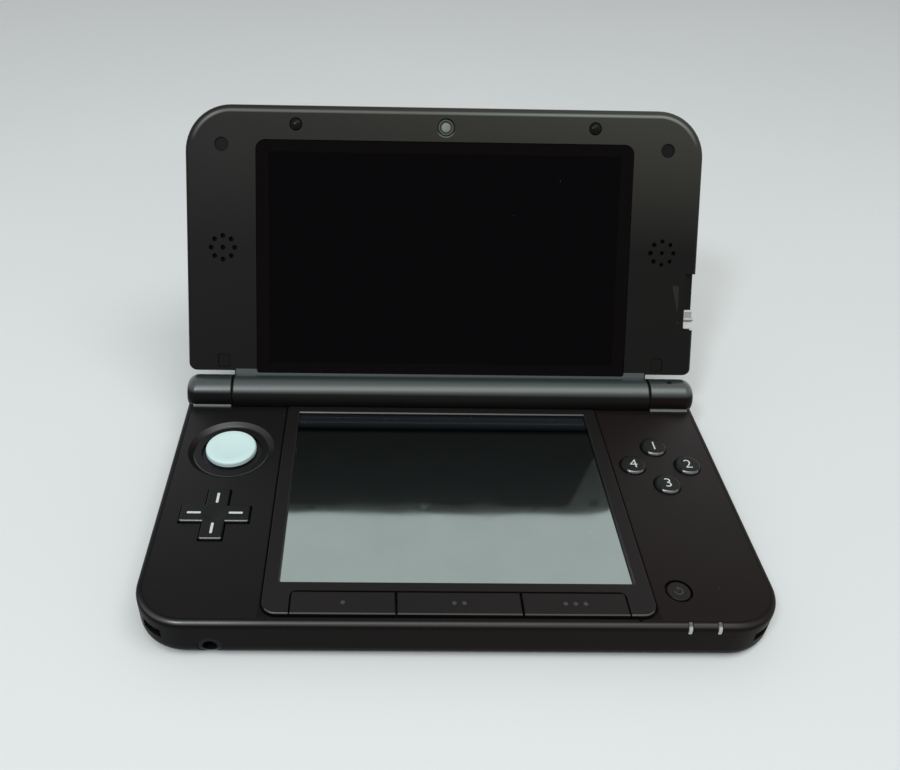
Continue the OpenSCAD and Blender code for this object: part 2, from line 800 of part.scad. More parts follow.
module key(i) {
    x0 = keys_x[i] + (i > 0 ? key_gap / 2 : 0);
    x1 = keys_x[i + 1] - (i < 2 ? key_gap / 2 : 0);
    color("#1f1f21") {
        intersection() {
            linear_extrude_between(key_z, panel_top) difference() {
                translate([x0, keys_front]) square([x1 - x0, keys_back - keys_front]);
                if (i == 0) plan_corner([x0 + 1.4, keys_back - 1.4], [-1, 1], 1.4);
                if (i == 2) plan_corner([x1 - 1.4, keys_back - 1.4], [1, 1], 1.4);
            }
            translate([0, keys_back + 1, 0]) rotate([90, 0, 0])
                linear_extrude(keys_back - keys_front + 2) chamfered(x0, x1);
            translate([x0 - 1, 0, 0]) rotate([90, 0, 90])
                linear_extrude(x1 - x0 + 2) chamfered(keys_front, keys_back);
        }
        for (x = [x0 + 5, x1 - 5]) translate([x, (keys_front + keys_back) / 2, key_z - 1.5])
            cylinder(r = 1.2, h = 1.6);
    }
}

// Section of a key from a to b across, with both top corners cut off
module chamfered(a, b) {
    top = panel_top - 0.05;
    c = key_chamfer;
    low = key_z - 0.1;
    polygon([[a, low], [b, low], [b, top - c], [b - c, top], [a + c, top], [a, top - c]]);
}

module key_left() key(0);
module key_centre() key(1);
module key_right() key(2);

// Board for the keys and the power button, above the stylus silo, and the rubber on it
module key_board() {
    color("#1d5b3a") linear_extrude_between(key_board_z, key_mat_z) key_board_outline(0);
}

module key_board_outline(inset) {
    polygon([[keys_x[0] - 4 + inset, keys_front + inset], [60 - inset, keys_front + inset],
        [60 - inset, -30.5 - inset], [48 + inset, -30.5 - inset], [48 + inset, keys_back + 0.4 - inset],
        [keys_x[0] - 4 + inset, keys_back + 0.4 - inset]]);
}

module key_mat() {
    color("#8a8f92") {
        linear_extrude_between(key_mat_z, key_mat_z + mat_t) key_board_outline(0.3);
        for (i = [0 : 2]) translate([(keys_x[i] + keys_x[i + 1]) / 2, (keys_front + keys_back) / 2, 0])
            rubber_dome(key_mat_z + mat_t - eps, key_z - 0.02);
        translate([power_pos[0], power_pos[1], 0]) rubber_dome(key_mat_z + mat_t - eps, flange_z - 0.02);
    }
}

// ---- Shoulder buttons ----

module shoulder_button_right() {
    color("#1b1b1d") difference() {
        union() {
            intersection() {
                shoulder_zone(shoulder_inset, shoulder_t + shoulder_inset, 0, shoulder_front_y);
                base_slab(shoulder_inset - 0.1, 0, ceiling_z, bottom_edge_r, 0);
            }
            translate([shoulder_pin[0], shoulder_pin[1], shoulder_z[0]])
                cylinder(r = 1.6, h = shoulder_z[1] - shoulder_z[0]);
        }
        translate([shoulder_pin[0], shoulder_pin[1], 0]) cylinder(r = 0.8, h = 12);
    }
}

module shoulder_button_left() mirror([1, 0, 0]) shoulder_button_right();

// Coil springs that push the shoulder buttons out
module shoulder_springs() {
    turns = 3;
    wire_r = 0.18;
    free_len = back_y - shoulder_inset - shoulder_t - spring_post_y - 0.1 - 2 * wire_r;
    color("silver") for (side = [-1, 1])
        translate([side * spring_x, spring_post_y + wire_r + 0.05, 4.5]) rotate([-90, 0, 0])
            linear_extrude(free_len, twist = -360 * turns, slices = 16 * turns)
                translate([1.1, 0]) circle(r = wire_r, $fn = 8);
}

module spring_posts() {
    for (side = [-1, 1])
        span_box([side * spring_x - 1.6, spring_post_y - 1, plate_z],
            [side * spring_x + 1.6, spring_post_y, 6]);
}

module pivot_pins() {
    color("silver") {
        for (side = [-1, 1]) translate([side * shoulder_pin[0], shoulder_pin[1], plate_z])
            cylinder(r = 0.75, h = deck_z - trough_t - plate_z - 0.05);
        translate([door_pin[0], door_pin[1], plate_z]) cylinder(r = 0.45, h = door_z[1] - 0.6);
    }
}

// ---- Sliders, stylus and screws ----

module volume_slider() {
    color("#202022") {
        span_box([-half_w - 0.8, volume_y - 2.4, 5.9], [-half_w + 1, volume_y + 2.4, 7.9]);
        span_box([-half_w + wall + 0.1, volume_y - 3.4, 5], [-half_w + wall + 0.9, volume_y + 3.4, 8.8]);
        span_box([-half_w + 0.9, volume_y - 1.6, 5.9], [-half_w + wall + 0.2, volume_y + 1.6, 7.9]);
    }
}

module wireless_switch() {
    color("#202022") {
        span_box([half_w - 1, radio_y - 2.2, 5.9], [half_w + 0.5, radio_y + 2.2, 7.9]);
        span_box([half_w - wall - 0.9, radio_y - 3.2, 5], [half_w - wall - 0.1, radio_y + 3.2, 8.8]);
        span_box([half_w - wall - 0.2, radio_y - 1.4, 5.9], [half_w - 0.9, radio_y + 1.4, 7.9]);
    }
}

// Stylus in its silo: barrel, tapering nose and flat end
module stylus() {
    tip_len = 9;
    color("#1b1b1d") translate([half_w - 0.3, stylus_pos[0], stylus_pos[1]]) {
        rod_x(stylus_r, tip_len - stylus_len, 0);
        translate([-stylus_len, 0, 0]) rotate([0, 90, 0]) cylinder(r1 = 0.6, r2 = stylus_r, h = tip_len);
        translate([-stylus_len, 0, 0]) sphere(r = 0.6);
        span_box([-1, -1, 1], [0, 1, 3.2]);
    }
}

module base_screws() {
    color("silver") {
        for (spot = cover_screw_spots) translate([spot[0], spot[1], 0.79]) rotate([180, 0, 0])
            screw(1.8, 0.6, 0.8, 4);
        for (spot = case_screw_spots) translate([spot[0], spot[1], plate_z]) rotate([180, 0, 0])
            screw(1.6, 0.55, 0.75, 5);
    }
}

// ---- Hinge ----

module hinge_clutch() {
    color("#9a9a9a") at_hinge() difference() {
        rod_x(clutch_r, knuckle_x + 0.1, clutch_end);
        rod_x(shaft_r + 0.06, knuckle_x - 1, clutch_end - 1.4);
    }
}

module hinge_shaft() {
    color("#b5b5b5") at_hinge() {
        rod_x(shaft_r, knuckle_x - 10, clutch_end - 1.6);
        rod_x(clutch_r, knuckle_x - 10, knuckle_x - 0.6);
    }
}

module hinge_bush() {
    color("#8c8c8c") at_hinge() difference() {
        rod_x(bush_r, -knuckle_x - bush_reach, -knuckle_x + bush_reach - 0.4);
        rod_x(bush_bore_r, -knuckle_x - 12, -knuckle_x + 12);
    }
}

// Flat cable rolled up inside the hollow side of the hinge
module display_ribbon() {
    turns = 1.75;
    steps = 28;
    thickness = 0.12;
    inner = [for (i = [0 : steps]) roll_point(i, steps, turns, 1.1)];
    outer = [for (i = [steps : -1 : 0]) roll_point(i, steps, turns, 1.1 + thickness)];
    color("#b8762f") at_hinge() translate([-knuckle_x - 8, 0, 0]) rotate([90, 0, 90])
        linear_extrude(24) polygon(concat(inner, outer));
}

function roll_point(i, steps, turns, start_r) =
    let (a = 360 * turns * i / steps, r = start_r + 0.85 * i / steps) [r * cos(a), r * sin(a)];

// ---- Lid: shells ----

module lid_slab(low, high, low_r, high_r) {
    intersection() {
        swept_slab(lid_w, -12, lid_top, lid_corner_r, lid_corner_r, low, high, low_r, high_r);
        linear_extrude_between(low - 1, high + 1)
            plan(lid_w + 0.02, lid_foot, lid_top + 2, 2.8, 1);
    }
}

module lid_cavity(low, high) {
    linear_extrude_between(low, high)
        plan(lid_w - 2 * lid_wall, lid_foot + lid_wall, lid_top - lid_wall, 1.6, lid_corner_r - lid_wall);
}

module lid_inner_case() {
    color("#1d1d1f") lid_frame() difference() {
        union() {
            difference() {
                lid_slab(seam_n, face_n, 0, lid_rim_r);
                lid_cavity(seam_n - 1, bezel_n);
            }
            rod_x(barrel_r, -barrel_x, barrel_x);
            span_box([-barrel_x, 3, seam_n], [barrel_x, lid_foot + lid_wall, face_n]);
            for (spot = lid_screw_spots) translate([spot[0], spot[1], seam_n])
                cylinder(r = 2.6, h = bezel_n - seam_n + eps);
            // rail of the depth slider
            span_box([rail_x[0] - 0.1, slot_v[0] - 1, seam_n], [rail_x[1], slot_v[1] + 1, bezel_n + eps]);
        }
        // seat of the window, and the opening behind it
        linear_extrude_between(face_n - window_t - 0.35, 1)
            plan(window_w, window_foot, window_foot + window_h, 0.8, 3);
        linear_extrude_between(seam_n - 1, 1) plan(109.2, 8.6, 73.6, 1, 1);
        for (side = [-1, 1]) {
            translate([side * speaker_pos[0], speaker_pos[1], bezel_n - 1]) speaker_holes();
            translate([side * bumper_pos[0], bumper_pos[1], face_n - 0.8]) cylinder(r = 1.95, h = 2);
        }
        translate([0, camera_v, seam_n - 1]) cylinder(r = 2.65, h = 6);
        for (spot = lid_screw_spots) translate([spot[0], spot[1], 0]) lid_screw_well(spot);
        slider_notch();
        slider_marks();
        barrel_bores();
    }
}

// One hole in the middle and eight round it, each opening out at the face
module speaker_holes() {
    speaker_hole();
    for (turn = [0 : 45 : 315]) rotate([0, 0, turn]) translate([3.55, 0, 0]) speaker_hole();
}

module speaker_hole() {
    cylinder(r = speaker_hole_r, h = 6);
    translate([0, 0, 1 + bezel_t - 0.2]) cylinder(r1 = speaker_hole_r, r2 = speaker_hole_r + 0.4, h = 0.4);
}

// Round plugs at the top corners, square ones with soft corners beside the hinge
module plug_outline(spot, gap) {
    if (is_upper(spot)) circle(1.95 + gap);
    else plan(3.4 + 2 * gap, -1.9 - gap, 1.9 + gap, 0.8, 0.8);
}

function is_upper(spot) = spot[1] > lid_top / 2;

module lid_screw_well(spot) {
    linear_extrude_between(face_n - 0.9, 1) plug_outline(spot, 0.13);
    translate([0, 0, bezel_n]) cylinder(r = 1.8, h = 2);
    translate([0, 0, seam_n - 1]) cylinder(r = 0.95, h = 4);
}

module slider_notch() {
    span_box([rail_x[0] - 0.1, slot_v[0], rail_n], [half_w + 1, slot_v[1], 1]);
    span_box([rail_x[1], slot_v[0], seam_n - 1], [half_w + 1, slot_v[1], 1]);
}

// Wedge and dot cut into the face beside the slider, wide end for the most depth
module slider_marks() {
    linear_extrude_between(face_n - 0.2, 1) {
        polygon([[70.9, 34.7], [73.2, 25.1], [73.2, 34.7]]);
        translate([73.23, 23.3]) circle(0.45);
    }
}

module barrel_bores() {
    rod_x(clutch_r + 0.02, knuckle_x - 10.1, barrel_x + 1);
    rod_x(bush_r + 0.02, -barrel_x - 1, -knuckle_x + bush_reach - 0.3);
    rod_x(bush_bore_r, -knuckle_x + 9, -knuckle_x + 18);
}

module lid_outer_cover() {
    color("#191919") lid_frame() difference() {
        union() {
            difference() {
                lid_slab(lid_back_n, seam_n - 0.05, lid_edge_r, 0);
                lid_cavity(lid_back_n + lid_wall, 1);
            }
            neck();
            for (spot = lid_screw_spots) translate([spot[0], spot[1], lid_back_n + lid_wall - eps])
                cylinder(r = 2.2, h = seam_n - 0.1 - lid_back_n - lid_wall);
        }
        rod_x(barrel_r + 0.1, -half_w, half_w);
        hinge_edge_bevel();
        for (spot = lid_screw_spots) translate([spot[0], spot[1], seam_n - 3.6])
            cylinder(r = 0.8, h = 6);
        for (side = [-1, 1]) translate([side * outer_camera_pos[0], outer_camera_pos[1], lid_back_n - 1])
            cylinder(r = 3.1, h = 4);
    }
}

// Slope from the lid's back down to the barrel
module neck() {
    translate([-barrel_x, 0, 0]) rotate([90, 0, 90]) linear_extrude(2 * barrel_x)
        polygon([[1.9, -5.75], [4.9, seam_n - 0.05], [lid_foot + lid_wall, seam_n - 0.05],
            [lid_foot + lid_wall, lid_back_n + 0.5], [6.2, lid_back_n + 0.8]]);
}

module hinge_edge_bevel() {
    for (side = [-1, 1]) translate([side * (barrel_x + 15), lid_foot, lid_back_n])
        rotate([45, 0, 0]) cube([30, 1.4, 1.4], center = true);
}

// ---- Lid: contents ----

module upper_display_window() {
    color([0.05, 0.05, 0.06]) lid_frame() linear_extrude_between(face_n - window_t - 0.3, face_n - 0.3)
        plan(window_w - 0.2, window_foot + 0.1, window_foot + window_h - 0.1, 0.7, 2.9);
}

module upper_display() {
    color("#101012") lid_frame() span_box([-56, 8.4, -5.1], [56, 75.6, bezel_n - 0.1]);
}

module speakers() {
    color("#2b2b2b") lid_frame() for (side = [-1, 1])
        translate([side * speaker_pos[0], speaker_pos[1], bezel_n - 3]) cylinder(r = 6.5, h = 2.9);
}

module inner_camera() {
    lid_at = [0, camera_v, 0];
    color("#2b2f2f") lid_frame() translate(lid_at) difference() {
        union() {
            translate([0, 0, bezel_n - 2]) cylinder(r = 2.3, h = 2 + bezel_t - 0.3);
            span_box([-4.3, -4, bezel_n - 2], [4.3, 4.2, bezel_n - 0.1]);
        }
        translate([0, 0, face_n - 0.9]) cylinder(r1 = 1.3, r2 = 2, h = 0.7);
    }
}

module outer_cameras() {
    color("#262626") lid_frame() {
        for (side = [-1, 1])
            translate([side * outer_camera_pos[0], outer_camera_pos[1], lid_back_n + 1.25])
                cylinder(r = 2.9, h = 2);
        span_box([-22, 72, lid_back_n + 3.2], [22, 81, lid_back_n + 3.5]);
    }
}

module camera_windows() {
    color([0.08, 0.08, 0.1]) lid_frame() for (side = [-1, 1])
        translate([side * outer_camera_pos[0], outer_camera_pos[1], lid_back_n + 0.2])
            cylinder(r = 3, h = 1);
}

module bumpers() {
    dome_r = 2.6;
    seat = 0.75;
    color("#0c0c0c") lid_frame() for (side = [-1, 1])
        translate([side * bumper_pos[0], bumper_pos[1], face_n - seat]) intersection() {
            translate([0, 0, seat + bumper_rise - dome_r]) sphere(r = dome_r);
            cylinder(r = 1.85, h = 3);
        }
}

module screw_plugs() {
    color("#1a1a1a") lid_frame() for (spot = lid_screw_spots)
        translate([spot[0], spot[1], face_n - 0.85])
            linear_extrude(is_upper(spot) ? 0.45 : 0.6) plug_outline(spot, 0);
}

module lid_screws() {
    color("silver") lid_frame() for (spot = lid_screw_spots)
        translate([spot[0], spot[1], bezel_n]) screw(1.7, 0.7, 0.75, 5);
}

// Slider knob that wraps over its rail, with a ridge for the thumb
module depth_slider() {
    color("#b9b9b5") lid_frame() {
        length = slider_v[1] - slider_v[0];
        soft = 0.4;
        linear_extrude_between(rail_n + 0.1, face_n - 0.1) translate([rail_x[0], slider_v[0]])
            difference() {
                square([knob_x - rail_x[0], length]);
                plan_corner([soft, soft], [-1, -1], soft);
                plan_corner([soft, length - soft], [-1, 1], soft);
            }
        span_box([rail_x[1] + 0.1, slider_v[0], seam_n + 0.1], [knob_x, slider_v[1], rail_n + 0.2]);
        translate([0, slider_v[0] + length / 2, 0])
            span_box([knob_x - 0.1, -0.5, seam_n + 0.4], [half_w, 0.5, face_n - 0.2]);
    }
}

// ---- Every node ----

bottom_cover();
rear_case();
front_case();
screen_surround();
touch_panel();
lower_display();
lower_display_tray();
main_board();
battery();
game_card_socket();
memory_card_socket();
memory_card_door();
headphone_jack();
charging_connector();
infrared_window();
light_pipes();
microphone();
circle_pad_housing();
circle_pad_spring();
circle_pad_carriage();
circle_pad_slider();
circle_pad_cap();
d_pad();
d_pad_pivot();
d_pad_mat();
face_button_up();
face_button_right();
face_button_down();
face_button_left();
face_button_mat();
power_button();
key_left();
key_centre();
key_right();
key_mat();
key_board();
shoulder_button_left();
shoulder_button_right();
shoulder_springs();
pivot_pins();
volume_slider();
wireless_switch();
stylus();
base_screws();
hinge_clutch();
lid_inner_case();
lid_outer_cover();
upper_display_window();
upper_display();
speakers();
inner_camera();
outer_cameras();
camera_windows();
bumpers();
screw_plugs();
lid_screws();
hinge_shaft();
hinge_bush();
display_ribbon();
depth_slider();
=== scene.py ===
"""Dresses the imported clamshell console: finishes, printed marks, fine parts, stage and camera."""

import json
import math

import bpy
from mathutils import Matrix, Vector


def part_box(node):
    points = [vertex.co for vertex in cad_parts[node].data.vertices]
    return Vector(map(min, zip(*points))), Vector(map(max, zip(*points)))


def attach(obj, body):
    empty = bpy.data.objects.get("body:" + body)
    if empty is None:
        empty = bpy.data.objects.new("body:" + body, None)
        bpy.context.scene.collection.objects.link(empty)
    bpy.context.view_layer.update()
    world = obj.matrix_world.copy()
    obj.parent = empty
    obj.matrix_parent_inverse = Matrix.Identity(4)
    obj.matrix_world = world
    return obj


bl_info = {
    "name": "Clamshell Console",
    "version": (1, 0, 0),
    "blender": (4, 5, 0),
    "location": "3D Viewport > Sidebar > Console",
    "description": "Finishes and fine parts for a clamshell handheld console",
    "category": "Object",
}

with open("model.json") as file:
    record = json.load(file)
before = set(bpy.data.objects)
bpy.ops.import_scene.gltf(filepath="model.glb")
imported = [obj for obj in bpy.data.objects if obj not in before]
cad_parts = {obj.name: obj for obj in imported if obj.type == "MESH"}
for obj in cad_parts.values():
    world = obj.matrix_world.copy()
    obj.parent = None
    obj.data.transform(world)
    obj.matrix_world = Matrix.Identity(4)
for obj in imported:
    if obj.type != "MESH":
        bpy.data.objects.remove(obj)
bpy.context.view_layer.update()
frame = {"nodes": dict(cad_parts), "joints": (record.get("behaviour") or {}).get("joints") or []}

MM = 0.001

# The photograph's frame and the camera that fits it
PHOTO_W, PHOTO_H = 900, 770
FOCAL_PX = 845.0
AXIS_PX = (388.1, 394.5)
CAMERA_AT = Vector((-20.98, -168.9, 173.86)) * MM
CAMERA_PITCH = math.radians(37.55)
CAMERA_YAW = math.radians(-1.266)
CAMERA_ROLL = math.radians(1.392)

# The lid's own frame: hinge axis at the origin, +Y up the lid, +Z out of its inner face
HINGE = Vector(next(j for j in frame["joints"] if j["name"] == "lid_hinge")["pos_m"])
LID_RISE = math.radians(60)
LID = Matrix.Translation(HINGE) @ Matrix.Rotation(LID_RISE, 4, "X")
LID_FACE = -0.1 * MM
LID_CORNER, LID_CORNER_RADIUS = (64.2 * MM, 72.7 * MM), 14 * MM
# How far inside the lid's outline its painted rim highlight runs
LID_RIM_INSET = 1.8 * MM
CAMERA_V = 80.8 * MM
# Distances from the inner camera's middle of the painted highlight on the lip below it
CAMERA_LIP = (2.6 * MM, 3.0 * MM)

# In the lid's frame: the slider's ribs and the bands of painted shade between them, and how far the
# wedge and the dot beside it reach inwards and up
RIBS_V = (21.75 * MM, 24.45 * MM, 26.85 * MM)
GROOVE_V = (23.45 * MM, 24.2 * MM)
HOLLOW_V = (24.7 * MM, 26.6 * MM)
MARKS_SIDE, MARKS_TOP = 66 * MM, 60 * MM

# The hinge: how far its round parts reach from the axis, where their smooth upper side with its
# painted sheen begins and is full, and where the knuckles begin
HINGE_REACH = 7.4 * MM
HINGE_UPPER = (3.0 * MM, 4.2 * MM)
KNUCKLE_START = 64.2 * MM

# The lower half: its face, its rounded front corners, and the screen surround on it
FACE_TOP = 12.2 * MM
FACE_CORNER, FACE_CORNER_RADIUS = (65 * MM, 33.5 * MM), 13 * MM
FACE_ROUNDING = 1.8 * MM
SURROUND_SIDE, SURROUND_FRONT = 47.6 * MM, -44.45 * MM
DUST_FRONT = -44 * MM
PANEL_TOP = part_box("screen_surround")[1].z

# Distances from the slide pad's middle: the ring of painted highlight at its dish, and the dish's
# slope
DISH_RING_HIGHLIGHT = (10.5 * MM, 10.85 * MM)
DISH_SLOPE = (10.9 * MM, 12.32 * MM)

# Half sizes of the touch panel and of the lid's display, and where their middles lie along Y, the
# panel's in the console's frame and the display's in the lid's
TOUCH_HALF, TOUCH_MIDDLE = (43.3 * MM, 32.65 * MM), -1.35 * MM
DISPLAY_HALF, DISPLAY_MIDDLE = (53.3 * MM, 31.8 * MM), 41.3 * MM

# The touch film: where painted shade darkens it towards the hinge, its slope, and the depth of its
# waves
FILM_DARK_FROM, FILM_DARK, FILM_BLACK = 22.6 * MM, 24.6 * MM, 27 * MM
FILM_LEAN = 0.056
FILM_WAVE = 0.12 * MM

# The cross pad's arms: half their width and span, and how far out the printed lines lie
ARM_HALF, SPAN_HALF, LINE_REACH = 2.95 * MM, 9.1 * MM, 5.5 * MM

# Matte plastic: size and depth of its grain; smooth plastic: its polish, and the hinge's painted
# sheen
GRAIN, GRAIN_DEPTH = 0.16 * MM, 0.012 * MM
POLISH_IOR = 1.6
POLISH_ROUGHNESS = 0.36
HINGE_PAINTED_SHEEN = (0.016, 0.026, 0.0245)

# Soft light from all round
SKY_FILL, SKY_POWER = (0.93, 0.97, 1.0), 0.42

# A distance past every edge of the console, and the order of the face buttons
FAR = 1.0
WAYS = ("up", "right", "down", "left")


# ---- Sizes and colours that a user would change ----


class ConsoleSizes(bpy.types.PropertyGroup):
    mark_length: bpy.props.FloatProperty(
        name="Cross pad mark length", description="Length of each line on the cross pad",
        default=3.7 * MM, min=1 * MM, max=5 * MM, subtype="DISTANCE", unit="LENGTH")
    mark_width: bpy.props.FloatProperty(
        name="Cross pad mark width", description="Width of each line on the cross pad",
        default=0.68 * MM, min=0.3 * MM, max=1.2 * MM, subtype="DISTANCE", unit="LENGTH")
    numeral_height: bpy.props.FloatProperty(
        name="Numeral height", description="Height of the numerals on the face buttons",
        default=3.3 * MM, min=1 * MM, max=4 * MM, subtype="DISTANCE", unit="LENGTH")
    print_depth: bpy.props.FloatProperty(
        name="Print thickness", description="How far printed marks stand off their surface",
        default=0.03 * MM, min=0.01 * MM, max=0.1 * MM, subtype="DISTANCE", unit="LENGTH")
    lens_radius: bpy.props.FloatProperty(
        name="Camera lens radius", description="Radius of the lid's inner camera lens",
        default=1.45 * MM, min=0.5 * MM, max=2 * MM, subtype="DISTANCE", unit="LENGTH")


class ConsoleColours(bpy.types.PropertyGroup):
    case: bpy.props.FloatVectorProperty(
        name="Case", description="Moulded shells of both halves", subtype="COLOR",
        default=(0.0058, 0.0044, 0.0041), min=0, max=1)
    control: bpy.props.FloatVectorProperty(
        name="Controls", description="Cross pad and face buttons", subtype="COLOR",
        default=(0.0065, 0.0067, 0.0068), min=0, max=1)
    pad: bpy.props.FloatVectorProperty(
        name="Slide pad", description="Cap of the slide pad", subtype="COLOR",
        default=(0.67, 0.77, 0.73), min=0, max=1)
    paint: bpy.props.FloatVectorProperty(
        name="Print", description="Printed marks on the controls", subtype="COLOR",
        default=(0.66, 0.68, 0.66), min=0, max=1)
    slider: bpy.props.FloatVectorProperty(
        name="Depth slider", description="Knob of the slider on the lid", subtype="COLOR",
        default=(0.60, 0.58, 0.54), min=0, max=1)
    touch: bpy.props.FloatVectorProperty(
        name="Touch panel", description="Sheen of the lower screen", subtype="COLOR",
        default=(0.30, 0.36, 0.345), min=0, max=1)


# ---- Shader expressions ----


class Value:
    """A socket of a finish. Arithmetic on it adds Math nodes."""

    def __init__(self, finish, socket):
        self.finish, self.socket = finish, socket

    def math(self, operation, *operands):
        settings = {"operation": operation}
        return self.finish.node("Math", settings, dict(enumerate(operands)))

    def __add__(self, other):
        return self.math("ADD", self, other)

    def __sub__(self, other):
        return self.math("SUBTRACT", self, other)

    def __rsub__(self, other):
        return self.math("SUBTRACT", other, self)

    def __mul__(self, other):
        return self.math("MULTIPLY", self, other)

    def __abs__(self):
        return self.math("ABSOLUTE", self)

    def __lt__(self, other):
        return self.math("LESS_THAN", self, other)

    def __gt__(self, other):
        return self.math("GREATER_THAN", self, other)

    __radd__, __rmul__ = __add__, __mul__

    def across(self, other):
        """Distance from zero of a point with these two coordinates."""
        return self.math("SQRT", self * self + other * other)

    def largest(self, other):
        return self.math("MAXIMUM", self, other)

    def between(self, low, high):
        """1 where the value lies between two others."""
        return (self > low) * (self < high)

    def ramp(self, start, end):
        """0 below start and 1 above end, or the other way round where start is the larger."""
        return self.finish.node(
            "MapRange", {"clamp": True},
            {"Value": self, "From Min": start, "From Max": end, "To Min": 0.0, "To Max": 1.0})


class Finish:
    """One procedural material, written as expressions on Object coordinates."""

    def __init__(self, name):
        self.material = bpy.data.materials.new(name)
        self.material.use_nodes = True
        self.nodes = self.material.node_tree.nodes
        self.links = self.material.node_tree.links
        self.nodes.clear()

    def node(self, kind, settings=None, inputs=None, output=0):
        node = self.nodes.new("ShaderNode" + kind)
        for key, value in (settings or {}).items():
            setattr(node, key, value)
        for key, value in (inputs or {}).items():
            self.feed(node.inputs[key], value)
        return Value(self, node.outputs[output])

    def feed(self, socket, value):
        if isinstance(value, Value):
            self.links.new(value.socket, socket)
        elif hasattr(value, "__len__") and len(socket.default_value) == 4:
            socket.default_value = (*value[:3], 1.0)
        else:
            socket.default_value = value

    def place(self, lid=False):
        """Object coordinates, turned into the lid's own frame where asked."""
        place = self.node("TexCoord", output="Object")
        if not lid:
            return place
        return self.node(
            "Mapping", {"vector_type": "TEXTURE"},
            {"Vector": place, "Location": HINGE, "Rotation": (LID_RISE, 0.0, 0.0)})

    def axes(self, place):
        split = self.node("SeparateXYZ", inputs={"Vector": place})
        return [Value(self, socket) for socket in split.socket.node.outputs]

    def noise(self, place, size, detail=2.0, roughness=0.5, stretch=None):
        if stretch:
            place = self.node("Mapping", inputs={"Vector": place, "Scale": stretch})
        return self.node(
            "TexNoise", inputs={"Vector": place, "Scale": 1 / size, "Detail": detail,
                                "Roughness": roughness})

    def specks(self, place, size, radius, share):
        """1 inside small scattered dots: one cell of that size in so many has a dot."""
        inputs = {"Vector": place, "Scale": 1 / size}
        distance = self.node("TexVoronoi", inputs=inputs)
        cell = self.node("TexVoronoi", inputs=inputs, output="Color")
        chosen = self.axes(cell)[0] < share
        return (distance < radius / size) * chosen

    def mix(self, factor, first, second):
        """First colour where the factor is 0, second where it is 1."""
        inputs = {0: factor, 6: first, 7: second}
        return self.node("Mix", {"data_type": "RGBA"}, inputs, output=2)

    def bump(self, height, depth, strength=1.0):
        inputs = {"Height": height, "Distance": depth, "Strength": strength}
        return self.node("Bump", inputs=inputs, output="Normal")

    def smears(self, place):
        """Long faint marks of handling."""
        return self.noise(place, 18 * MM, 3.0, 0.6, (1.0, 0.5, 1.0)).ramp(0.35, 0.7)

    def grain(self, place, size=GRAIN):
        """Normal of a finely textured moulding."""
        return self.bump(self.noise(place, size, 2.0, 0.6), GRAIN_DEPTH, 0.5)

    def surface(self, **sockets):
        """Principled surface: sockets by name, with _ for each space."""
        inputs = {name.replace("_", " "): value for name, value in sockets.items()}
        shader = self.node("BsdfPrincipled", inputs=inputs)
        self.links.new(shader.socket, self.nodes.new("ShaderNodeOutputMaterial").inputs["Surface"])
        return self.material


def scaled(colour, by):
    """Colour times one factor, or times a factor for each channel."""
    factors = by if isinstance(by, tuple) else (by, by, by)
    return [channel * factor for channel, factor in zip(colour, factors)]


def hinge_gloss(across, up, lean):
    """1 on the upper side of the barrel and knuckles, where they are polished and carry a painted
    sheen, by two distances from the hinge axis that lean that far from level and upright."""
    height = across * math.sin(lean) + up * math.cos(lean)
    return (across.across(up) < HINGE_REACH) * height.ramp(*HINGE_UPPER)


def from_outline(across, along, corner, radius):
    """Distance outside an outline whose rounded corner is centred there; negative inside it."""
    past_side = (abs(across) - corner[0]).largest(0.0)
    past_end = (along - corner[1]).largest(0.0)
    return past_side.across(past_end) - radius


def coat(names, material):
    """Gives CAD nodes a material."""
    for name in names:
        mesh = frame["nodes"][name].data
        mesh.materials.clear()
        mesh.materials.append(material)


# ---- Modelling helpers ----


def deselect():
    if bpy.context.mode != "OBJECT":
        bpy.ops.object.mode_set(mode="OBJECT")
    bpy.ops.object.select_all(action="DESELECT")


def only(piece):
    deselect()
    piece.select_set(True)
    bpy.context.view_layer.objects.active = piece


def settle(piece, name, place, material, body):
    """Names a finished piece, applies its place to its mesh and seats it on its body."""
    only(piece)
    piece.matrix_world = place @ piece.matrix_world
    bpy.ops.object.transform_apply(location=True, rotation=True, scale=True)
    piece.name = piece.data.name = name
    piece.data.materials.clear()
    piece.data.materials.append(material)
    bpy.ops.object.shade_smooth_by_angle(angle=math.radians(35))
    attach(piece, body)
    return piece


def join(pieces):
    only(pieces[0])
    for piece in pieces[1:]:
        piece.select_set(True)
    if len(pieces) > 1:
        bpy.ops.object.join()
    return pieces[0]


def finish_with(piece, kind, **settings):
    """Adds a modifier and applies it."""
    only(piece)
    modifier = piece.modifiers.new(kind.title(), kind)
    for key, value in settings.items():
        setattr(modifier, key, value)
    bpy.ops.object.modifier_apply(modifier=modifier.name)


def soften(piece, width):
    """Rounds a piece's sharp edges a little."""
    finish_with(piece, "BEVEL", width=width, segments=2, limit_method="ANGLE")


def bar(width, length, height, at, turn=0.0):
    """Low bar with round ends, lying along Y before it is turned, its foot at the given point."""
    deselect()
    bpy.ops.mesh.primitive_cube_add(
        size=1, location=(0, 0, height / 2), scale=(width, length, height))
    piece = bpy.context.object
    bpy.ops.object.transform_apply(location=True, rotation=True, scale=True)
    bpy.ops.object.mode_set(mode="EDIT")
    bpy.ops.mesh.select_mode(type="EDGE")
    bpy.ops.mesh.select_all(action="DESELECT")
    bpy.ops.object.mode_set(mode="OBJECT")
    corners = piece.data.vertices
    for edge in piece.data.edges:
        low, high = (corners[i].co for i in edge.vertices)
        edge.select = abs(low.z - high.z) > height / 2
    bpy.ops.object.mode_set(mode="EDIT")
    bpy.ops.mesh.bevel(offset=width * 0.42, segments=5)
    bpy.ops.object.mode_set(mode="OBJECT")
    piece.matrix_world = Matrix.Translation(at) @ Matrix.Rotation(turn, 4, "Z")
    bpy.ops.object.transform_apply(location=True, rotation=True, scale=True)
    return piece


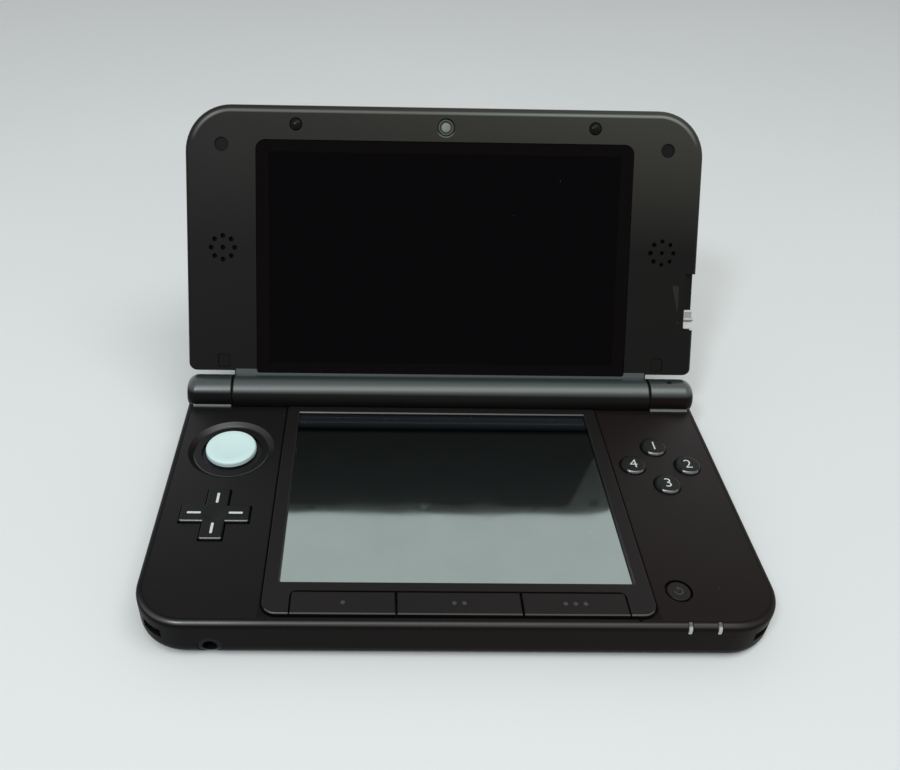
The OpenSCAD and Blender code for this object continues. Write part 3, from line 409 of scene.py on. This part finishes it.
def dot(radius, height, at, sides=28):
    """Low round stud with a softened rim, its foot at the given point."""
    deselect()
    middle = Vector(at) + Vector((0, 0, height / 2))
    bpy.ops.mesh.primitive_cylinder_add(
        vertices=sides, radius=radius, depth=height, location=middle)
    piece = bpy.context.object
    bpy.ops.object.transform_apply(location=True, rotation=True, scale=True)
    soften(piece, min(radius, height) * 0.3)
    return piece


def numeral(text, height, thickness, at):
    """A plain numeral with its middle at the given point, as a solid."""
    deselect()
    bpy.ops.object.text_add()
    piece = bpy.context.object
    figure_share, thinning = 0.69, 0.012
    piece.data.body = text
    piece.data.size = height / figure_share
    piece.data.extrude = thickness / 2
    piece.data.offset = -thinning * height
    piece.data.resolution_u = 6
    bpy.ops.object.convert(target="MESH")
    piece = bpy.context.object
    low = Vector([min(v.co[i] for v in piece.data.vertices) for i in range(3)])
    high = Vector([max(v.co[i] for v in piece.data.vertices) for i in range(3)])
    foot = Vector((*((low + high) / 2).xy, low.z))
    piece.matrix_world = Matrix.Translation(Vector(at) - foot)
    bpy.ops.object.transform_apply(location=True, rotation=True, scale=True)
    return piece


def ring(outer, inner, height, at, sides=48):
    """Flat ring, its foot at the given point."""
    deselect()
    bpy.ops.mesh.primitive_circle_add(vertices=sides, radius=inner, fill_type="NOTHING")
    piece = bpy.context.object
    bpy.ops.object.mode_set(mode="EDIT")
    bpy.ops.mesh.select_all(action="SELECT")
    bpy.ops.mesh.extrude_edges_move()
    bpy.ops.transform.resize(value=(outer / inner, outer / inner, 1))
    bpy.ops.mesh.select_all(action="SELECT")
    bpy.ops.mesh.extrude_region_move(TRANSFORM_OT_translate={"value": (0, 0, height)})
    bpy.ops.mesh.select_all(action="SELECT")
    bpy.ops.mesh.normals_make_consistent(inside=False)
    bpy.ops.object.mode_set(mode="OBJECT")
    piece.matrix_world = Matrix.Translation(at)
    bpy.ops.object.transform_apply(location=True, rotation=True, scale=True)
    return piece


# ---- Finishes ----


def moulded(name, colour, lid=False, grain=GRAIN, roughness=0.42, specular=0.16, dust=0.02,
            edge=(0, 0), front=FAR, side=FAR):
    """Fine-textured matte plastic with handling marks and a little dust, polished between two
    heights as far back as the front and as far out as the side."""
    f = Finish(name)
    place = f.place(lid)
    x, y, z = f.axes(place)
    cloud = f.noise(place, 45 * MM, 2.0).ramp(0.3, 0.7)
    base = f.mix(cloud, scaled(colour, (0.8, 0.95, 1.0)), scaled(colour, 1.12))
    specks = f.specks(place, 2.4 * MM, 0.06 * MM, dust)
    base = f.mix(specks * 0.8, base, (0.3, 0.3, 0.28))
    return f.surface(
        Base_Color=base, Roughness=f.smears(place) * 0.07 + roughness - 0.03,
        Specular_IOR_Level=specular, Coat_Weight=z.between(*edge) * (y < front) * (abs(x) < side),
        Coat_IOR=POLISH_IOR, Coat_Roughness=POLISH_ROUGHNESS, Normal=f.grain(place, grain))


def face_plastic(name, colour):
    """Face of the lower half: matte plastic with painted reflections, a cool tint to the left and a
    warm one to the right, dusty along the screen surround, with a painted highlight on the front of
    the slide pad's dish ring, and smooth on the knuckles and the front edge, with a painted sheen
    on the knuckles."""
    f = Finish(name)
    place = f.place()
    x, y, z = f.axes(place)
    # painted reflections: a cool tint towards the left and a warm tint towards the right
    painted_reflection_tint = x.ramp(10 * MM, -70 * MM)
    base = f.mix(painted_reflection_tint, scaled(colour, (1.2, 1.0, 0.96)), scaled(colour, (0.85, 1.06, 1.1)))
    by_seam = abs(abs(x) - SURROUND_SIDE).ramp(1.5 * MM, 0.2 * MM) * (y > DUST_FRONT)
    specks = f.specks(place, 1.3 * MM, 0.07 * MM, 0.16) * by_seam
    stray = f.specks(place, 3.2 * MM, 0.07 * MM, 0.05)
    base = f.mix(specks.largest(stray) * 0.7, base, (0.34, 0.34, 0.31))
    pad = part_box("circle_pad_cap")
    behind_pad = y - (pad[0].y + pad[1].y) / 2
    from_pad = (x - (pad[0].x + pad[1].x) / 2).across(behind_pad)
    # painted highlight on the front of the dish's inner ring
    painted_ring_highlight = from_pad.between(*DISH_RING_HIGHLIGHT) * behind_pad.ramp(0.0, -6 * MM)
    base = f.mix(painted_ring_highlight, base, (0.085, 0.095, 0.095))
    # polished on the knuckles and the fillet in front of them, and painted there with a pale sheen
    knuckle = hinge_gloss(y - HINGE.y, z - HINGE.z, 0.0)
    fillet = z.between(FACE_TOP + 0.12 * MM, FACE_TOP + 0.8 * MM) * (y < HINGE.y - 4.9 * MM)
    knuckle = knuckle.largest(fillet * 0.7) * (abs(x) > KNUCKLE_START + 0.35 * MM)
    base = f.mix(knuckle, base, HINGE_PAINTED_SHEEN)
    # polished on the front edge, less so towards its two ends
    outline = from_outline(x, 0.0 - y, FACE_CORNER, FACE_CORNER_RADIUS)
    edge = abs(z - FACE_TOP + 0.42 * MM).ramp(0.4 * MM, 0.1 * MM) * (outline > -FACE_ROUNDING)
    edge = edge * y.ramp(-37 * MM, -44 * MM) * (x.ramp(-56 * MM, -44 * MM) * -0.3 + 1.0)
    edge = edge * (x.ramp(62 * MM, 73 * MM) * -0.85 + 1.0)
    # polished on the dish's slope, and satin on the flat of the face
    slope = from_pad.between(*DISH_SLOPE) * behind_pad.ramp(2 * MM, 11 * MM)
    slope = slope * (z < FACE_TOP - 0.02 * MM) * 0.8
    flat = z.between(FACE_TOP - 1.1 * MM, FACE_TOP + 0.05 * MM) * (outline < -FACE_ROUNDING)
    flat = flat * (abs(x) > SURROUND_SIDE).largest(y < SURROUND_FRONT)
    satin = flat * (y.ramp(30 * MM, -40 * MM) * -0.2 + 0.27)
    return f.surface(
        Base_Color=base, Roughness=f.smears(place) * 0.07 + 0.39, Specular_IOR_Level=0.05,
        Coat_Weight=knuckle.largest(edge).largest(slope).largest(satin), Coat_IOR=POLISH_IOR,
        Coat_Roughness=0.3, Normal=f.grain(place))


def lid_plastic(name, colour):
    """Lid's matte plastic, with a painted sheen towards its top edge and right side, a painted
    highlight along the rim, and smooth on the barrel, with a painted sheen on its upper side."""
    f = Finish(name)
    place = f.place(lid=True)
    u, v, n = f.axes(place)
    # painted sheen: paler towards the top edge and towards the right side
    top = v.ramp(45 * MM, 88 * MM) * (n > -3 * MM)
    pale = top * (u.ramp(-90 * MM, 90 * MM) * 0.9 + 0.1)
    base = f.mix(pale, scaled(colour, (0.8, 0.95, 0.95)), scaled(colour, (8.0, 9.8, 8.8)))
    # a painted highlight along the rim near the top, strongest towards the right and at the corners
    outline = from_outline(u, v, LID_CORNER, LID_CORNER_RADIUS)
    rim = abs(outline + LID_RIM_INSET).ramp(0.6 * MM, 0.15 * MM) * (n > LID_FACE - 1 * MM)
    corners = abs(u).ramp(60 * MM, 70 * MM) * 0.8
    rim = rim * v.ramp(76 * MM, 84 * MM) * (u.ramp(-5 * MM, 40 * MM) * 0.4 + 0.5).largest(corners)
    base = f.mix(rim, base, (0.22, 0.23, 0.215))
    # polished on the barrel's upper side, and painted there with a pale sheen
    barrel = hinge_gloss(v, n, LID_RISE) * (abs(u) < KNUCKLE_START - 0.6 * MM)
    base = f.mix(barrel, base, HINGE_PAINTED_SHEEN)
    specks = f.specks(place, 3.0 * MM, 0.06 * MM, 0.02)
    base = f.mix(specks * 0.6, base, (0.3, 0.3, 0.28))
    # paler floor of the slider's wedge and dot, and a painted highlight on the lower lip round the
    # camera
    marks = n.between(LID_FACE - 0.27 * MM, LID_FACE - 0.12 * MM) * (u > MARKS_SIDE)
    base = f.mix(marks * (v < MARKS_TOP), base, (0.019, 0.018, 0.016))
    below_camera = CAMERA_V - v
    lip = u.across(below_camera).between(*CAMERA_LIP) * below_camera.ramp(1.2 * MM, 2.2 * MM)
    base = f.mix(lip * (n > LID_FACE - 1 * MM), base, (0.11, 0.115, 0.11))
    return f.surface(
        Base_Color=base, Roughness=f.smears(place) * 0.07 + 0.39, Specular_IOR_Level=0.09,
        Coat_Weight=barrel, Coat_IOR=POLISH_IOR, Coat_Roughness=POLISH_ROUGHNESS,
        Normal=f.grain(place))


def slider_plastic(colour):
    """Pale knob of the depth slider, with painted shade between its ribs."""
    f = Finish("slider_plastic")
    v, n = f.axes(f.place(lid=True))[1:]
    grime = f.noise(f.place(), 0.9 * MM, 2.0).ramp(0.3, 0.8)
    bands = (v.between(*HOLLOW_V) * 0.55).largest(v.between(*GROOVE_V) * 0.85)
    shade = bands * (n < LID_FACE - 0.06 * MM)
    base = f.mix(grime, colour, scaled(colour, 0.8))
    return f.surface(
        Base_Color=f.mix(shade, base, scaled(colour, 0.2)), Roughness=grime * 0.1 + 0.42,
        Specular_IOR_Level=0.16)


def light_pipe(colour):
    """Clear plastic over a lamp: painted pale at the front edge as if lit, palest low down, unlit
    and dark on the knuckle.
    """
    f = Finish("light_pipe")
    z = f.axes(f.place())[2]
    below_knuckle = z < 14 * MM
    painted_glow = below_knuckle * (z.ramp(11.9 * MM, 11.5 * MM) * 0.8 + 0.2)
    return f.surface(
        Base_Color=f.mix(painted_glow, (0.006, 0.006, 0.006), colour), Roughness=0.3,
        Specular_IOR_Level=0.2)


def glossy(name, colour, roughness=0.22, specular=0.2, front_edges=()):
    """Semi-gloss moulded plastic. Each front edge is the middle and reach of a box in which it
    shines."""
    f = Finish(name)
    place = f.place()
    rub = f.noise(place, 4 * MM, 2.0).ramp(0.3, 0.75)
    texture = f.noise(place, 0.3 * MM, 2.0)
    spot = f.axes(place)
    polish = 0.0
    for middle, reach in front_edges:
        x, y, z = (abs(axis - centre) < half for axis, centre, half in zip(spot, middle, reach))
        polish = (x * y * z).largest(polish)
    return f.surface(
        Base_Color=f.mix(rub, colour, scaled(colour, 1.25)), Roughness=rub * 0.08 + roughness,
        Specular_IOR_Level=specular, Coat_Weight=polish, Coat_IOR=1.9, Coat_Roughness=0.24,
        Normal=f.bump(texture, 0.006 * MM, 0.35))


def painted(name, colour):
    """Printed ink: flat, a little uneven."""
    f = Finish(name)
    wear = f.noise(f.place(), 0.5 * MM, 2.0).ramp(0.2, 0.8)
    return f.surface(
        Base_Color=f.mix(wear, scaled(colour, 0.86), colour), Roughness=wear * 0.1 + 0.45,
        Specular_IOR_Level=0.3)


def touch_film(colour):
    """Touch panel over the unlit screen: a soft mirror with dust along its edges, and with painted
    shade at the back."""
    f = Finish("touch_film")
    place = f.place()
    x, y = f.axes(place)[:2]
    edge = (abs(x) - TOUCH_HALF[0]).largest(abs(y - TOUCH_MIDDLE) - TOUCH_HALF[1])
    by_edge = edge.ramp(-2.6 * MM, -0.2 * MM)
    dust = f.specks(place, 0.8 * MM, 0.07 * MM, 0.3) * by_edge
    dust = dust.largest(f.specks(place, 4.5 * MM, 0.09 * MM, 0.12))
    haze = f.noise(place, 12 * MM, 3.0).ramp(0.3, 0.8)
    base = f.mix(haze, colour, scaled(colour, 0.94))
    # painted shade towards the hinge: the mirror turns dark before it stops being metallic,
    # so that no pale line shows between
    base = f.mix(y.ramp(FILM_DARK_FROM, FILM_DARK), base, (0.009, 0.011, 0.013))
    shaded = y.ramp(FILM_DARK, FILM_BLACK)
    # the film leans back a little, in gentle waves
    waves = f.noise(place, 22 * MM, 1.0, 0.4) * FILM_WAVE
    return f.surface(
        Base_Color=f.mix(dust * 0.8, base, (0.7, 0.72, 0.7)),
        Metallic=1.0 - shaded.largest(dust * 0.95), Roughness=haze * 0.03 + dust * 0.4 + 0.05,
        Normal=f.bump(waves - y * FILM_LEAN, 1.0))


def lid_glass():
    """Glossy black window: printed border round a still darker screen."""
    f = Finish("lid_glass")
    place = f.place(lid=True)
    u, v = f.axes(place)[:2]
    edge = (abs(u) - DISPLAY_HALF[0]).largest(abs(v - DISPLAY_MIDDLE) - DISPLAY_HALF[1])
    inside = edge.ramp(0.15 * MM, -0.15 * MM)
    dust = f.specks(place, 7 * MM, 0.1 * MM, 0.12)
    base = f.mix(inside, (0.0024, 0.0016, 0.0016), (0.0006, 0.0006, 0.0010))
    return f.surface(
        Base_Color=f.mix(dust * 0.5, base, (0.2, 0.2, 0.2)),
        Roughness=inside * 0.02 + dust * 0.3 + 0.05, Specular_IOR_Level=0.03)


def metal(name, colour, roughness=0.35):
    """Plated sheet steel with fine brushing."""
    f = Finish(name)
    brush = f.noise(f.place(), 0.2 * MM, 2.0, 0.6, (0.08, 1.0, 1.0))
    return f.surface(
        Base_Color=f.mix(brush, scaled(colour, 0.85), colour), Metallic=1.0,
        Roughness=brush * 0.2 + roughness - 0.1)


def board():
    """Circuit board: green mask over faint tracks."""
    f = Finish("circuit_board")
    place = f.place()
    tracks = f.noise(place, 1.5 * MM, 1.0, 0.4, (1.0, 0.15, 1.0)).ramp(0.5, 0.55)
    return f.surface(
        Base_Color=f.mix(tracks, (0.01, 0.10, 0.045), (0.02, 0.16, 0.07)), Roughness=0.35)


def rubber(name, colour, roughness=0.55):
    """Moulded rubber with a fine bloom."""
    f = Finish(name)
    bloom = f.noise(f.place(), 1.2 * MM, 2.0).ramp(0.3, 0.8)
    return f.surface(
        Base_Color=f.mix(bloom, colour, scaled(colour, 1.3)), Roughness=bloom * 0.12 + roughness,
        Specular_IOR_Level=0.4)


# ---- Operators: one for each group of pieces ----


class CONSOLE_OT_shells(bpy.types.Operator):
    """Finish both halves' moulded shells and the small parts in their colour"""

    bl_idname = "console.shells"
    bl_label = "Shells"

    def execute(self, context):
        colour = context.scene.console_colours.case
        coat(["front_case"], face_plastic("face_plastic", colour))
        rim = (PANEL_TOP - 0.36 * MM, PANEL_TOP - 0.01 * MM)
        coat(["screen_surround"], moulded("surround_plastic", colour, edge=rim, side=46 * MM))
        coat(["bottom_cover"], moulded("cover_plastic", colour, specular=0.1))
        coat(["rear_case", "shoulder_button_left", "shoulder_button_right", "volume_slider",
              "wireless_switch", "memory_card_door", "stylus"], moulded("case_plastic", colour))
        coat(["lid_inner_case", "lid_outer_cover"], lid_plastic("lid_plastic", colour))
        coat(["screw_plugs"], moulded(
            "plug_plastic", scaled(colour, 1.6), lid=True, roughness=0.5, specular=0.05))
        return {"FINISHED"}


class CONSOLE_OT_screens(bpy.types.Operator):
    """Finish the touch panel and the lid's window"""

    bl_idname = "console.screens"
    bl_label = "Screens"

    def execute(self, context):
        coat(["touch_panel"], touch_film(context.scene.console_colours.touch))
        coat(["upper_display_window"], lid_glass())
        coat(["lower_display", "upper_display"], glossy("display_stack", (0.008, 0.008, 0.009)))
        return {"FINISHED"}


class CONSOLE_OT_slide_pad(bpy.types.Operator):
    """Finish the slide pad's cap, the parts under it and the cross pad's pivot"""

    bl_idname = "console.slide_pad"
    bl_label = "Slide pad"

    def execute(self, context):
        coat(["circle_pad_cap"], moulded(
            "pad_cap", context.scene.console_colours.pad, grain=0.1 * MM, roughness=0.5,
            specular=0.35, dust=0.0))
        coat(["circle_pad_slider", "circle_pad_carriage", "circle_pad_housing", "d_pad_pivot"],
             moulded("pad_works", (0.02, 0.02, 0.021)))
        return {"FINISHED"}


class CONSOLE_OT_cross_pad(bpy.types.Operator):
    """Finish the cross pad and print a line on each arm"""

    bl_idname = "console.cross_pad"
    bl_label = "Cross pad"

    def execute(self, context):
        sizes, colours = context.scene.console_sizes, context.scene.console_colours
        low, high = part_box("d_pad")
        middle = (low + high) / 2
        rim, deep, tall = high.z - 0.25 * MM, 0.5 * MM, 0.24 * MM
        edges = [((middle.x, middle.y - SPAN_HALF, rim), (ARM_HALF, deep, tall))]
        for side in (-1, 1):
            at = (middle.x + side * (ARM_HALF + SPAN_HALF) / 2, middle.y - ARM_HALF, rim)
            edges.append((at, ((SPAN_HALF - ARM_HALF) / 2, deep, tall)))
        coat(["d_pad"], glossy(
            "control_plastic", colours.control, roughness=0.27, specular=0.12, front_edges=edges))
        sunk = Vector((0, 0, sizes.print_depth * 2))
        lines = []
        for turn in range(4):
            angle = turn * math.pi / 2
            at = middle + Vector((
                math.sin(angle) * LINE_REACH, math.cos(angle) * LINE_REACH, high.z - middle.z))
            lines.append(bar(
                sizes.mark_width, sizes.mark_length, sizes.print_depth * 3, at - sunk, -angle))
        settle(join(lines), "cross_pad_lines", Matrix(), painted("mark_paint", colours.paint),
               "d_pad")
        return {"FINISHED"}


class CONSOLE_OT_face_buttons(bpy.types.Operator):
    """Finish the face buttons and print a numeral on each"""

    bl_idname = "console.face_buttons"
    bl_label = "Face buttons"

    def execute(self, context):
        sizes, colours = context.scene.console_sizes, context.scene.console_colours
        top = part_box("face_button_up")[1].z
        reach = (2.2 * MM, 0.95 * MM, 0.45 * MM)
        edges = []
        for way in WAYS:
            low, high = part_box(f"face_button_{way}")
            edges.append((((low.x + high.x) / 2, low.y + 0.7 * MM, top - 0.55 * MM), reach))
        plastic = glossy(
            "button_plastic", colours.control, roughness=0.24, specular=0.14, front_edges=edges)
        ink = painted("numeral_paint", colours.paint)
        for number, way in enumerate(WAYS, 1):
            node = f"face_button_{way}"
            coat([node], plastic)
            low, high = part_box(node)
            middle = (low + high) / 2
            at = Vector((middle.x, middle.y, high.z - sizes.print_depth))
            piece = numeral(str(number), sizes.numeral_height, sizes.print_depth * 2, at)
            settle(piece, f"numeral_{way}", Matrix(), ink, node)
        return {"FINISHED"}


class CONSOLE_OT_keys(bpy.types.Operator):
    """Finish the three keys and raise one, two and three dots on them"""

    bl_idname = "console.keys"
    bl_label = "Keys"

    def execute(self, context):
        colour = context.scene.console_colours.case
        low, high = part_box("key_left")
        plastic = moulded(
            "key_plastic", scaled(colour, 1.05), roughness=0.4,
            edge=(high.z - 0.3 * MM, high.z - 0.01 * MM), front=low.y + 0.4 * MM)
        ink = painted("faint_print", (0.04, 0.04, 0.039))
        step, radius, height, sunk = 2.4 * MM, 0.55 * MM, 0.08 * MM, 0.03 * MM
        for count, side in enumerate(("left", "centre", "right"), 1):
            node = f"key_{side}"
            coat([node], plastic)
            low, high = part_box(node)
            middle = (low + high) / 2
            first = middle.x - (count - 1) / 2 * step
            dots = [dot(radius, height, (first + i * step, middle.y, high.z - sunk))
                    for i in range(count)]
            settle(join(dots), f"key_dots_{side}", Matrix(), ink, node)
        return {"FINISHED"}


class CONSOLE_OT_power_button(bpy.types.Operator):
    """Finish the power button with its standby sign"""

    bl_idname = "console.power_button"
    bl_label = "Power button"

    def execute(self, context):
        colour = context.scene.console_colours.case
        coat(["power_button"], moulded("power_plastic", scaled(colour, 1.1), roughness=0.38))
        low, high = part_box("power_button")
        middle = (low + high) / 2
        width, height, sunk = 0.24 * MM, 0.06 * MM, 0.03 * MM
        foot = Vector((middle.x, middle.y, high.z - sunk))
        arc = self.arc(0.98 * MM, width, height, foot)
        stroke = bar(width, 1.1 * MM, height, foot + Vector((0, 0.75 * MM, 0)))
        ink = painted("sign_print", (0.045, 0.045, 0.044))
        settle(join([arc, stroke]), "standby_sign", Matrix(), ink, "power_button")
        return {"FINISHED"}

    @staticmethod
    def arc(radius, width, height, at):
        """Round stroke, open for a sixth of a turn at the back, its foot at the given point."""
        deselect()
        bpy.ops.mesh.primitive_plane_add(size=1, rotation=(math.pi / 2, 0, 0))
        piece = bpy.context.object
        piece.scale = (width, height, 1)
        bpy.ops.object.transform_apply(location=True, rotation=True, scale=True)
        piece.matrix_world = (
            Matrix.Translation(Vector(at) + Vector((0, 0, height / 2)))
            @ Matrix.Rotation(math.radians(120), 4, "Z") @ Matrix.Translation((radius, 0, 0)))
        bpy.ops.object.transform_apply(location=True, rotation=True, scale=True)
        bpy.ops.object.mode_set(mode="EDIT")
        bpy.ops.mesh.select_all(action="SELECT")
        bpy.ops.mesh.spin(steps=40, angle=math.radians(300), center=at, axis=(0, 0, 1))
        bpy.ops.mesh.select_all(action="SELECT")
        bpy.ops.mesh.normals_make_consistent(inside=False)
        bpy.ops.object.mode_set(mode="OBJECT")
        return piece


class CONSOLE_OT_depth_slider(bpy.types.Operator):
    """Finish the depth slider and raise three ribs on its knob"""

    bl_idname = "console.depth_slider"
    bl_label = "Depth slider"

    def execute(self, context):
        plastic = slider_plastic(context.scene.console_colours.slider)
        coat(["depth_slider"], plastic)
        left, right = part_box("depth_slider")[0].x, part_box("depth_slider")[1].x - 0.6 * MM
        middle, length = (left + right) / 2, right - left - 0.2 * MM
        width, height, foot = 0.42 * MM, 0.3 * MM, LID_FACE - 0.2 * MM
        ribs = [bar(width, length, height, Vector((middle, v, foot)), math.pi / 2) for v in RIBS_V]
        settle(join(ribs), "depth_slider_ribs", LID, plastic, "depth_slider")
        return {"FINISHED"}


class CONSOLE_OT_cameras(bpy.types.Operator):
    """Finish the cameras and add the inner one's lens and rim"""

    bl_idname = "console.cameras"
    bl_label = "Cameras"

    def execute(self, context):
        barrel = glossy("camera_barrel", (0.05, 0.055, 0.052), 0.35)
        coat(["inner_camera", "outer_cameras"], barrel)
        coat(["camera_windows"], glossy("camera_window", (0.004, 0.004, 0.005), 0.05))
        place = LID @ Matrix.Translation((0, CAMERA_V, 0))
        lens = self.lens(context.scene.console_sizes.lens_radius, LID_FACE - 0.95 * MM)
        settle(lens, "inner_lens", place, glossy("lens_glass", (0.17, 0.18, 0.15), 0.45, 0.2),
               "lid")
        rim = ring(2.25 * MM, 1.9 * MM, 0.12 * MM, Vector((0, 0, LID_FACE - 0.34 * MM)))
        soften(rim, 0.04 * MM)
        settle(rim, "inner_camera_rim", place, glossy("rim_plastic", (0.055, 0.06, 0.056), 0.3),
               "lid")
        return {"FINISHED"}

    @staticmethod
    def lens(radius, level):
        """Shallow dome with a flat back, its middle half a radius above the given level."""
        deselect()
        bpy.ops.mesh.primitive_uv_sphere_add(
            segments=36, ring_count=18, radius=radius, location=(0, 0, 0))
        piece = bpy.context.object
        bpy.ops.object.mode_set(mode="EDIT")
        bpy.ops.mesh.select_all(action="SELECT")
        bpy.ops.mesh.bisect(
            plane_co=(0, 0, 0), plane_no=(0, 0, 1), use_fill=True, clear_inner=True)
        bpy.ops.mesh.select_all(action="SELECT")
        bpy.ops.transform.resize(value=(1, 1, 0.3))
        bpy.ops.object.mode_set(mode="OBJECT")
        piece.matrix_world = Matrix.Translation((0, 0, level))
        bpy.ops.object.transform_apply(location=True, rotation=True, scale=True)
        return piece


class CONSOLE_OT_small_parts(bpy.types.Operator):
    """Finish the bumpers, lights, connectors and the parts inside"""

    bl_idname = "console.small_parts"
    bl_label = "Small parts"

    def execute(self, context):
        coat(["bumpers"], glossy("bumper_rubber", (0.003, 0.003, 0.003), 0.1, 0.08))
        coat(["light_pipes"], light_pipe((0.42, 0.43, 0.42)))
        coat(["infrared_window"], glossy("infrared_window", (0.02, 0.004, 0.005), 0.08))
        coat(["headphone_jack", "charging_connector", "microphone", "speakers", "game_card_socket",
              "hinge_bush"], glossy("connector_plastic", (0.006, 0.006, 0.006), 0.35, 0.09))
        coat(["d_pad_mat", "face_button_mat"], rubber("mat_rubber", (0.26, 0.27, 0.28)))
        coat(["key_mat"], rubber("key_rubber", (0.008, 0.008, 0.008)))
        coat(["main_board", "key_board"], board())
        coat(["battery"], moulded("battery_wrap", (0.03, 0.03, 0.035)))
        coat(["display_ribbon"], glossy("flat_cable", (0.35, 0.14, 0.03), 0.3))
        steel = metal("plated_steel", (0.55, 0.55, 0.56))
        coat(["lower_display_tray", "memory_card_socket", "circle_pad_spring", "shoulder_springs",
              "pivot_pins", "base_screws", "lid_screws", "hinge_clutch", "hinge_shaft"], steel)
        return {"FINISHED"}


class CONSOLE_OT_stage(bpy.types.Operator):
    """Set the floor, the soft studio light and the camera"""

    bl_idname = "console.stage"
    bl_label = "Stage"

    def execute(self, context):
        self.floor()
        self.sky(context.scene)
        self.lamp("soft_box", at=(0.12, -0.25, 0.91), size=(1.0, 0.42), power=4.7,
                  colour=(0.93, 1.0, 0.96))
        self.lamp("window", at=(-0.40, -0.53, 0.78), size=(0.15, 0.15), power=2.8,
                  colour=(0.86, 0.95, 1.0))
        self.camera(context.scene)
        context.scene.view_settings.view_transform = "Standard"
        return {"FINISHED"}

    @staticmethod
    def floor():
        """Plain pale floor."""
        deselect()
        bpy.ops.mesh.primitive_plane_add(size=6)
        floor = bpy.context.object
        floor.name = "floor"
        f = Finish("floor")
        mottle = f.noise(f.place(), 0.25, 2.0).ramp(0.3, 0.7)
        base = f.mix(mottle, (0.76, 0.755, 0.75), (0.78, 0.775, 0.77))
        floor.data.materials.append(
            f.surface(Base_Color=base, Roughness=0.8, Specular_IOR_Level=0.2))

    @staticmethod
    def sky(scene):
        """Soft fill from all round, and plain white where the camera or a reflection sees it."""
        scene.world = bpy.data.worlds.new("studio")
        scene.world.use_nodes = True
        nodes, links = scene.world.node_tree.nodes, scene.world.node_tree.links
        nodes.clear()
        path = nodes.new("ShaderNodeLightPath")
        seen = path.outputs["Is Camera Ray"]
        for ray in ("Is Glossy Ray", "Is Transmission Ray"):
            either = nodes.new("ShaderNodeMath")
            either.operation = "MAXIMUM"
            links.new(seen, either.inputs[0])
            links.new(path.outputs[ray], either.inputs[1])
            seen = either.outputs[0]
        mix = nodes.new("ShaderNodeMixShader")
        links.new(seen, mix.inputs[0])
        for slot, colour, strength in ((1, SKY_FILL, SKY_POWER), (2, (1, 1, 1), 1.0)):
            background = nodes.new("ShaderNodeBackground")
            background.inputs["Color"].default_value = (*colour, 1)
            background.inputs["Strength"].default_value = strength
            links.new(background.outputs[0], mix.inputs[slot])
        output = nodes.new("ShaderNodeOutputWorld")
        links.new(mix.outputs[0], output.inputs["Surface"])

    @staticmethod
    def lamp(name, at, size, power, colour):
        """Rectangular soft lamp aimed at the console."""
        light = bpy.data.lights.new(name, "AREA")
        light.shape = "RECTANGLE"
        light.size, light.size_y = size
        light.energy = power
        light.color = colour
        lamp = bpy.data.objects.new(name, light)
        bpy.context.scene.collection.objects.link(lamp)
        lamp.location = at
        towards = Vector((0, 0, 20 * MM)) - Vector(at)
        lamp.rotation_euler = towards.to_track_quat("-Z", "Y").to_euler()

    @staticmethod
    def camera(scene):
        """Pinhole camera fitted to the photograph."""
        lens = bpy.data.cameras.new("photo_camera")
        lens.sensor_width = 36
        lens.lens = FOCAL_PX * lens.sensor_width / PHOTO_W
        lens.shift_x = (PHOTO_W / 2 - AXIS_PX[0]) / PHOTO_W
        lens.shift_y = (AXIS_PX[1] - PHOTO_H / 2) / PHOTO_W
        lens.clip_start = 0.01
        camera = bpy.data.objects.new("photo_camera", lens)
        scene.collection.objects.link(camera)
        camera.matrix_world = (
            Matrix.Translation(CAMERA_AT) @ Matrix.Rotation(CAMERA_YAW, 4, "Z")
            @ Matrix.Rotation(math.pi / 2 - CAMERA_PITCH, 4, "X")
            @ Matrix.Rotation(CAMERA_ROLL, 4, "Z"))
        scene.camera = camera


class CONSOLE_PT_sidebar(bpy.types.Panel):
    """Lists the console's parts, sizes and colours"""

    bl_idname = "CONSOLE_PT_sidebar"
    bl_label = "Console"
    bl_space_type = "VIEW_3D"
    bl_region_type = "UI"
    bl_category = "Console"

    def draw(self, context):
        for group in (context.scene.console_sizes, context.scene.console_colours):
            for name in group.__annotations__:
                self.layout.prop(group, name)
        for operator in OPERATORS:
            self.layout.operator(operator.bl_idname)


OPERATORS = (
    CONSOLE_OT_stage, CONSOLE_OT_shells, CONSOLE_OT_screens, CONSOLE_OT_slide_pad,
    CONSOLE_OT_cross_pad, CONSOLE_OT_face_buttons, CONSOLE_OT_keys, CONSOLE_OT_power_button,
    CONSOLE_OT_depth_slider, CONSOLE_OT_cameras, CONSOLE_OT_small_parts,
)
CLASSES = (ConsoleSizes, ConsoleColours, *OPERATORS, CONSOLE_PT_sidebar)


def register():
    for cls in CLASSES:
        bpy.utils.register_class(cls)
    bpy.types.Scene.console_sizes = bpy.props.PointerProperty(type=ConsoleSizes)
    bpy.types.Scene.console_colours = bpy.props.PointerProperty(type=ConsoleColours)


def unregister():
    del bpy.types.Scene.console_colours
    del bpy.types.Scene.console_sizes
    for cls in reversed(CLASSES):
        bpy.utils.unregister_class(cls)


def main():
    register()
    bpy.ops.console.stage()
    bpy.ops.console.shells()
    bpy.ops.console.screens()
    bpy.ops.console.slide_pad()
    bpy.ops.console.cross_pad()
    bpy.ops.console.face_buttons()
    bpy.ops.console.keys()
    bpy.ops.console.power_button()
    bpy.ops.console.depth_slider()
    bpy.ops.console.cameras()
    bpy.ops.console.small_parts()


if __name__ == "__main__":
    main()
